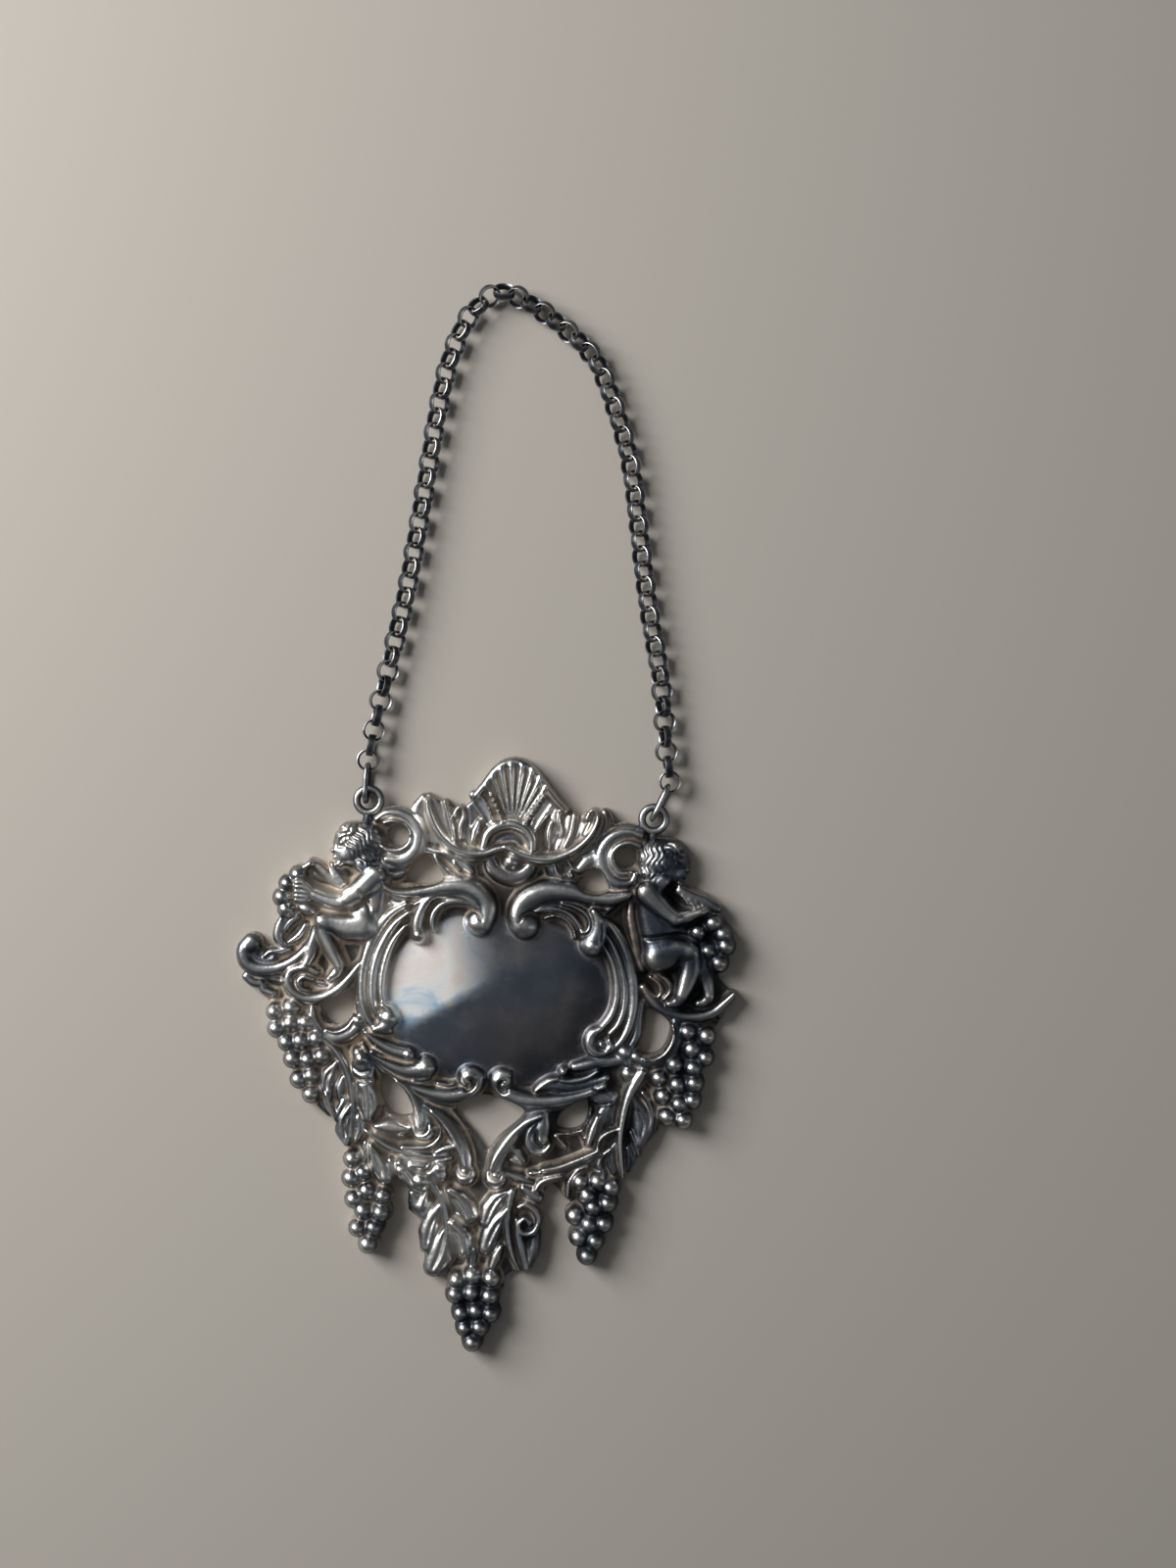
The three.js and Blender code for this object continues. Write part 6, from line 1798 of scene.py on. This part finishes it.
def plate_finish(groups):
    tree, shader, clouds, tarnish = metal("tarnished_plate_silver", groups, 1.0)
    for k, name in enumerate(("Ground", "Crease", "Steep", "Rubbed", "Dark", "Bright", "Warm")):
        connect(tree, tarnish, **{name: attribute(tree, name.lower(), -1100, 700 - 160 * k)})
    panel = attribute(tree, "panel", -800, -500)
    film = attribute(tree, "film", -800, -950)
    # a painted reflection of the light with thin oil-like colours at the left end of the panel, and
    # cloudy tarnish on the rest of it
    where = put(tree, "ShaderNodeTexCoord", -1300, -700).outputs["Object"]
    fine = noise(tree, -1100, -700, where, Scale=FILM_SCALE, Detail=4.0, Distortion=0.8)
    broad = noise(tree, -1100, -1100, where, Scale=TINGE_SCALE, Detail=2.0)
    film_colour = ramp(tree, -800, -700, fine.outputs["Fac"], FILM_STOPS)
    tinge = ramp(tree, -800, -1100, broad.outputs["Fac"], PANEL_STOPS)
    tinged = maths(tree, -500, -1100, "MULTIPLY", panel, PANEL_SHARE)
    toned = mixed(tree, -300, 100, tinged, tarnish.outputs["Color"], tinge)
    scratches = use_group(tree, groups["scratches"], -500, -500).outputs["Mask"]
    rough = tarnish.outputs["Roughness"]
    polished = maths(tree, -100, -200, "MULTIPLY_ADD", panel, PANEL_POLISH, rough, True)
    off_panel = maths(tree, -200, -650, "SUBTRACT", 1.0, panel)
    cast = maths(tree, 0, -600, "MULTIPLY", clouds["Grain"], off_panel)
    height = maths(tree, 100, -500, "MULTIPLY_ADD", scratches, SCRATCH_HEIGHT, cast)
    connect(
        tree, shader,
        Base_Color=mixed(tree, -100, 100, film, toned, film_colour),
        Roughness=maths(
            tree, 100, -200, "MULTIPLY_ADD", scratches, SCRATCH_ROUGHNESS, polished, True),
        Metallic=maths(
            tree, 0, -300, "MULTIPLY_ADD", film, METAL_IN_FILM, tarnish.outputs["Metallic"]),
        Normal=bumped(tree, 300, -500, height, PLATE_BUMP),
    )


def chain_finish(groups):
    tree, shader, clouds, tarnish = metal("oxidised_chain_silver", groups, CHAIN_CLOUD_SCALE)
    rubbed = attribute(tree, "rubbed", -1000, 300)
    shade = attribute(tree, "shade", -1000, 100)
    worn = maths(tree, -850, 300, "MULTIPLY_ADD", clouds["Clouds"], *CHAIN_WEAR, True)
    connect(
        tree, tarnish,
        Rubbed=maths(tree, -700, 300, "MULTIPLY", rubbed, worn),
        Dark=maths(tree, -700, 100, "MULTIPLY_ADD", shade, *CHAIN_DARK, True),
        Steep=maths(tree, -700, 500, "MULTIPLY_ADD", rubbed, *CHAIN_GRIME, True),
    )
    connect(
        tree, shader,
        Base_Color=tarnish.outputs["Color"],
        Roughness=tarnish.outputs["Roughness"],
        Metallic=tarnish.outputs["Metallic"],
        Normal=bumped(tree, 200, -400, clouds["Grain"], CHAIN_BUMP),
    )


def floor_finish(colour):
    material, _, shader = new_material("pale_floor")
    shader.inputs["Base Color"].default_value = (*colour, 1)
    shader.inputs["Roughness"].default_value = FLOOR_ROUGHNESS
    return material


def finishes():
    """The two metals and the groups that they share, made once."""
    if "tarnished_plate_silver" not in bpy.data.materials:
        groups = {
            "clouds": mottling_group(),
            "scratches": scratches_group(),
            "tarnish": tarnish_group(),
        }
        plate_finish(groups)
        chain_finish(groups)
    return bpy.data.materials["tarnished_plate_silver"], bpy.data.materials["oxidised_chain_silver"]


# Stage, in metres
FLOOR_SIZE = 1.6
FLOOR_DROP = 0.00002
FLOOR_ROUGHNESS = 0.9
CAMERA_PLACE = (0.00975, 0.0276)
CAMERA_TURN = 3.755
CAMERA_CLIP = (0.01, 10)
LIGHT_AIM = (0.0, 0.01, 0)
SKY_COLOUR = (0.93, 0.97, 1.0)
# name, place, sides, share of the main power, and colour of each light
LAMPS = [
    ("window_light", (-0.33, 0.18, 0.25), (0.26, 0.26), 1.32, (1.0, 0.985, 0.96)),
    ("soft_light", (-0.16, 0.08, 0.36), (0.6, 0.6), 0.09, (0.98, 0.99, 1.0)),
    ("side_card", (0.30, -0.05, 0.16), (0.06, 0.34), 0.03, (0.9, 0.95, 1.0)),
]


class PlateSettings(bpy.types.PropertyGroup):
    pitch: bpy.props.FloatProperty(
        name="Grid pitch", description="Distance between the relief's grid points, in millimetres",
        default=0.135, min=0.08, max=0.5)
    softness: bpy.props.FloatProperty(
        name="Softness", description="How far the casting's edges are rounded, in millimetres",
        default=0.1, min=0.02, max=0.4)
    triangles: bpy.props.IntProperty(
        name="Triangles", description="Number of triangles that the plate keeps",
        default=190000, min=20000, max=196000)


class ChainSettings(bpy.types.PropertyGroup):
    seed: bpy.props.IntProperty(
        name="Seed", description="Chooses how the tarnish varies from link to link", default=5)
    variety: bpy.props.FloatProperty(
        name="Variety", description="How much the tarnish varies from link to link", default=0.6,
        min=0, max=1, subtype="FACTOR")


class StageSettings(bpy.types.PropertyGroup):
    camera_height: bpy.props.FloatProperty(
        name="Camera height", description="Height of the camera over the table", default=0.230,
        unit="LENGTH", min=0.1, max=1)
    lens: bpy.props.FloatProperty(
        name="Lens", description="Focal length in millimetres on a 36 mm sensor", default=40.4,
        min=20, max=100)
    key_power: bpy.props.FloatProperty(
        name="Main light", description="Power of the large light at the upper left", default=1.6,
        unit="POWER", min=0)
    fill: bpy.props.FloatProperty(
        name="Fill", description="Strength of the even light from all round",
        default=0.045, min=0, max=2)
    floor_colour: bpy.props.FloatVectorProperty(
        name="Floor colour", description="Colour of the table", default=(0.57, 0.535, 0.485),
        subtype="COLOR", size=3, min=0, max=1)


class LABEL_OT_stage(bpy.types.Operator):
    """Sets up the table, the lights and the camera over the label"""
    bl_idname = "label.stage"
    bl_label = "Set up the stage"

    def execute(self, context):
        values = context.scene.label_stage
        scene = context.scene
        scene.view_settings.view_transform = "Standard"
        bpy.ops.mesh.primitive_plane_add(size=FLOOR_SIZE, location=(0, 0, -FLOOR_DROP))
        floor = context.object
        floor.name = "table"
        floor.data.materials.append(floor_finish(values.floor_colour))
        camera = bpy.data.cameras.new("camera")
        camera.lens = values.lens
        camera.clip_start, camera.clip_end = CAMERA_CLIP
        view = bpy.data.objects.new("camera", camera)
        view.location = (*CAMERA_PLACE, values.camera_height)
        view.rotation_euler = (0, 0, math.radians(CAMERA_TURN))
        scene.collection.objects.link(view)
        scene.camera = view
        for name, place, sides, share, colour in LAMPS:
            self.lamp(scene, name, place, sides, values.key_power * share, colour)
        world = bpy.data.worlds.new("room")
        world.use_nodes = True
        sky = world.node_tree.nodes["Background"]
        sky.inputs["Color"].default_value = (*SKY_COLOUR, 1)
        sky.inputs["Strength"].default_value = values.fill
        scene.world = world
        return {"FINISHED"}

    def lamp(self, scene, name, place, sides, power, colour):
        lamp = bpy.data.lights.new(name, "AREA")
        lamp.shape = "RECTANGLE"
        lamp.size, lamp.size_y = sides
        lamp.energy = power
        lamp.color = colour
        holder = bpy.data.objects.new(name, lamp)
        holder.location = place
        aim = Vector(LIGHT_AIM) - Vector(place)
        holder.rotation_euler = aim.to_track_quat("-Z", "Y").to_euler()
        scene.collection.objects.link(holder)


class LABEL_OT_plate(bpy.types.Operator):
    """Makes the cast plate with its relief and its bare panel"""
    bl_idname = "label.plate"
    bl_label = "Make the plate"

    def execute(self, context):
        values = context.scene.label_plate
        silver = finishes()[0]
        relief = Relief(RELIEF_LOW, RELIEF_HIGH, values.pitch)
        shape_face(relief)
        finish_face(relief, values.softness)
        body = thinned(plate_mesh(relief), values.triangles, "label_plate_relief")
        mark_plate(body.data, relief)
        smooth_shaded(body.data, PLATE_SHARP)
        placed("label_plate_relief", body, "label_plate", "plate_silver", silver, "label_plate")
        return {"FINISHED"}


class LABEL_OT_eyes(bpy.types.Operator):
    """Makes the two round eyes at the top corners of the plate"""
    bl_idname = "label.eyes"
    bl_label = "Make the eyes"

    def execute(self, context):
        silver = finishes()[0]
        for side, centre, _, _ in SUSPENSIONS:
            ring, ring_faces = eye_points(centre)
            neck, neck_faces = neck_points(centre)
            points = np.vstack([ring, neck])
            faces = np.vstack([ring_faces, neck_faces + len(ring)])
            mesh = mesh_of_triangles(f"eye_{side}", points, faces)
            height = points[:, 2]
            write_values(
                mesh,
                steep=np.clip((EYE_DARK[0] - height) / EYE_DARK[1], 0, 1),
                rubbed=np.clip((height - EYE_RUBBED[0]) / EYE_RUBBED[1], 0, 1),
                dark=EYE_SHADE,
            )
            smooth_shaded(mesh, WIRE_SHARP)
            placed(f"eye_{side}", mesh, "label_plate", "plate_silver", silver)
        return {"FINISHED"}


class LABEL_OT_jump_rings(bpy.types.Operator):
    """Makes the two oval jump rings between the eyes and the chain"""
    bl_idname = "label.jump_rings"
    bl_label = "Make the jump rings"

    def execute(self, context):
        silver = finishes()[1]
        for side, eye, seat, lean in SUSPENSIONS:
            middle, along, _ = suspension(eye, seat, lean)
            name = f"jump_ring_{side}"
            mesh = jump_ring_mesh(name + "_wire", middle, along)
            placed(name + "_wire", mesh, name, "chain_silver", silver, name)
        return {"FINISHED"}


class LABEL_OT_chain(bpy.types.Operator):
    """Makes the belcher chain, link by link"""
    bl_idname = "label.chain"
    bl_label = "Make the chain"

    def execute(self, context):
        values = context.scene.label_chain
        silver = finishes()[1]
        shades = np.random.default_rng(values.seed).uniform(0, values.variety, LINK_COUNT)
        before = (LINK_COUNT - CROWN_LINK_COUNT) // 2
        for number, (place, shade) in enumerate(zip(chain_places(), shades), 1):
            mesh = link_mesh(f"belcher_link_{number:02d}", place, shade)
            if before < number <= before + CROWN_LINK_COUNT:
                placed(mesh.name, mesh, "chain_crown", "chain_silver", silver, "chain_crown")
            else:
                node = f"chain_link_{number:02d}"
                placed(mesh.name, mesh, node, "chain_silver", silver, node)
        return {"FINISHED"}


class LABEL_PT_tools(bpy.types.Panel):
    """Lists what can be made"""
    bl_label = "Decanter label"
    bl_idname = "LABEL_PT_tools"
    bl_space_type = "VIEW_3D"
    bl_region_type = "UI"
    bl_category = "Label"

    def draw(self, context):
        scene = context.scene
        for values in (scene.label_plate, scene.label_chain, scene.label_stage):
            box = self.layout.box()
            for name in values.__annotations__:
                box.prop(values, name)
        for step in STEPS:
            self.layout.operator(step.bl_idname)


STEPS = (LABEL_OT_stage, LABEL_OT_plate, LABEL_OT_eyes, LABEL_OT_jump_rings, LABEL_OT_chain)
SETTINGS = (PlateSettings, ChainSettings, StageSettings)


def register():
    for kind in (*SETTINGS, *STEPS, LABEL_PT_tools):
        bpy.utils.register_class(kind)
    bpy.types.Scene.label_plate = bpy.props.PointerProperty(type=PlateSettings)
    bpy.types.Scene.label_chain = bpy.props.PointerProperty(type=ChainSettings)
    bpy.types.Scene.label_stage = bpy.props.PointerProperty(type=StageSettings)


def unregister():
    del bpy.types.Scene.label_stage
    del bpy.types.Scene.label_chain
    del bpy.types.Scene.label_plate
    for kind in reversed((*SETTINGS, *STEPS, LABEL_PT_tools)):
        bpy.utils.unregister_class(kind)


def main():
    register()
    bpy.ops.label.stage()
    bpy.ops.label.plate()
    bpy.ops.label.eyes()
    bpy.ops.label.jump_rings()
    bpy.ops.label.chain()


if __name__ == "__main__":
    main()
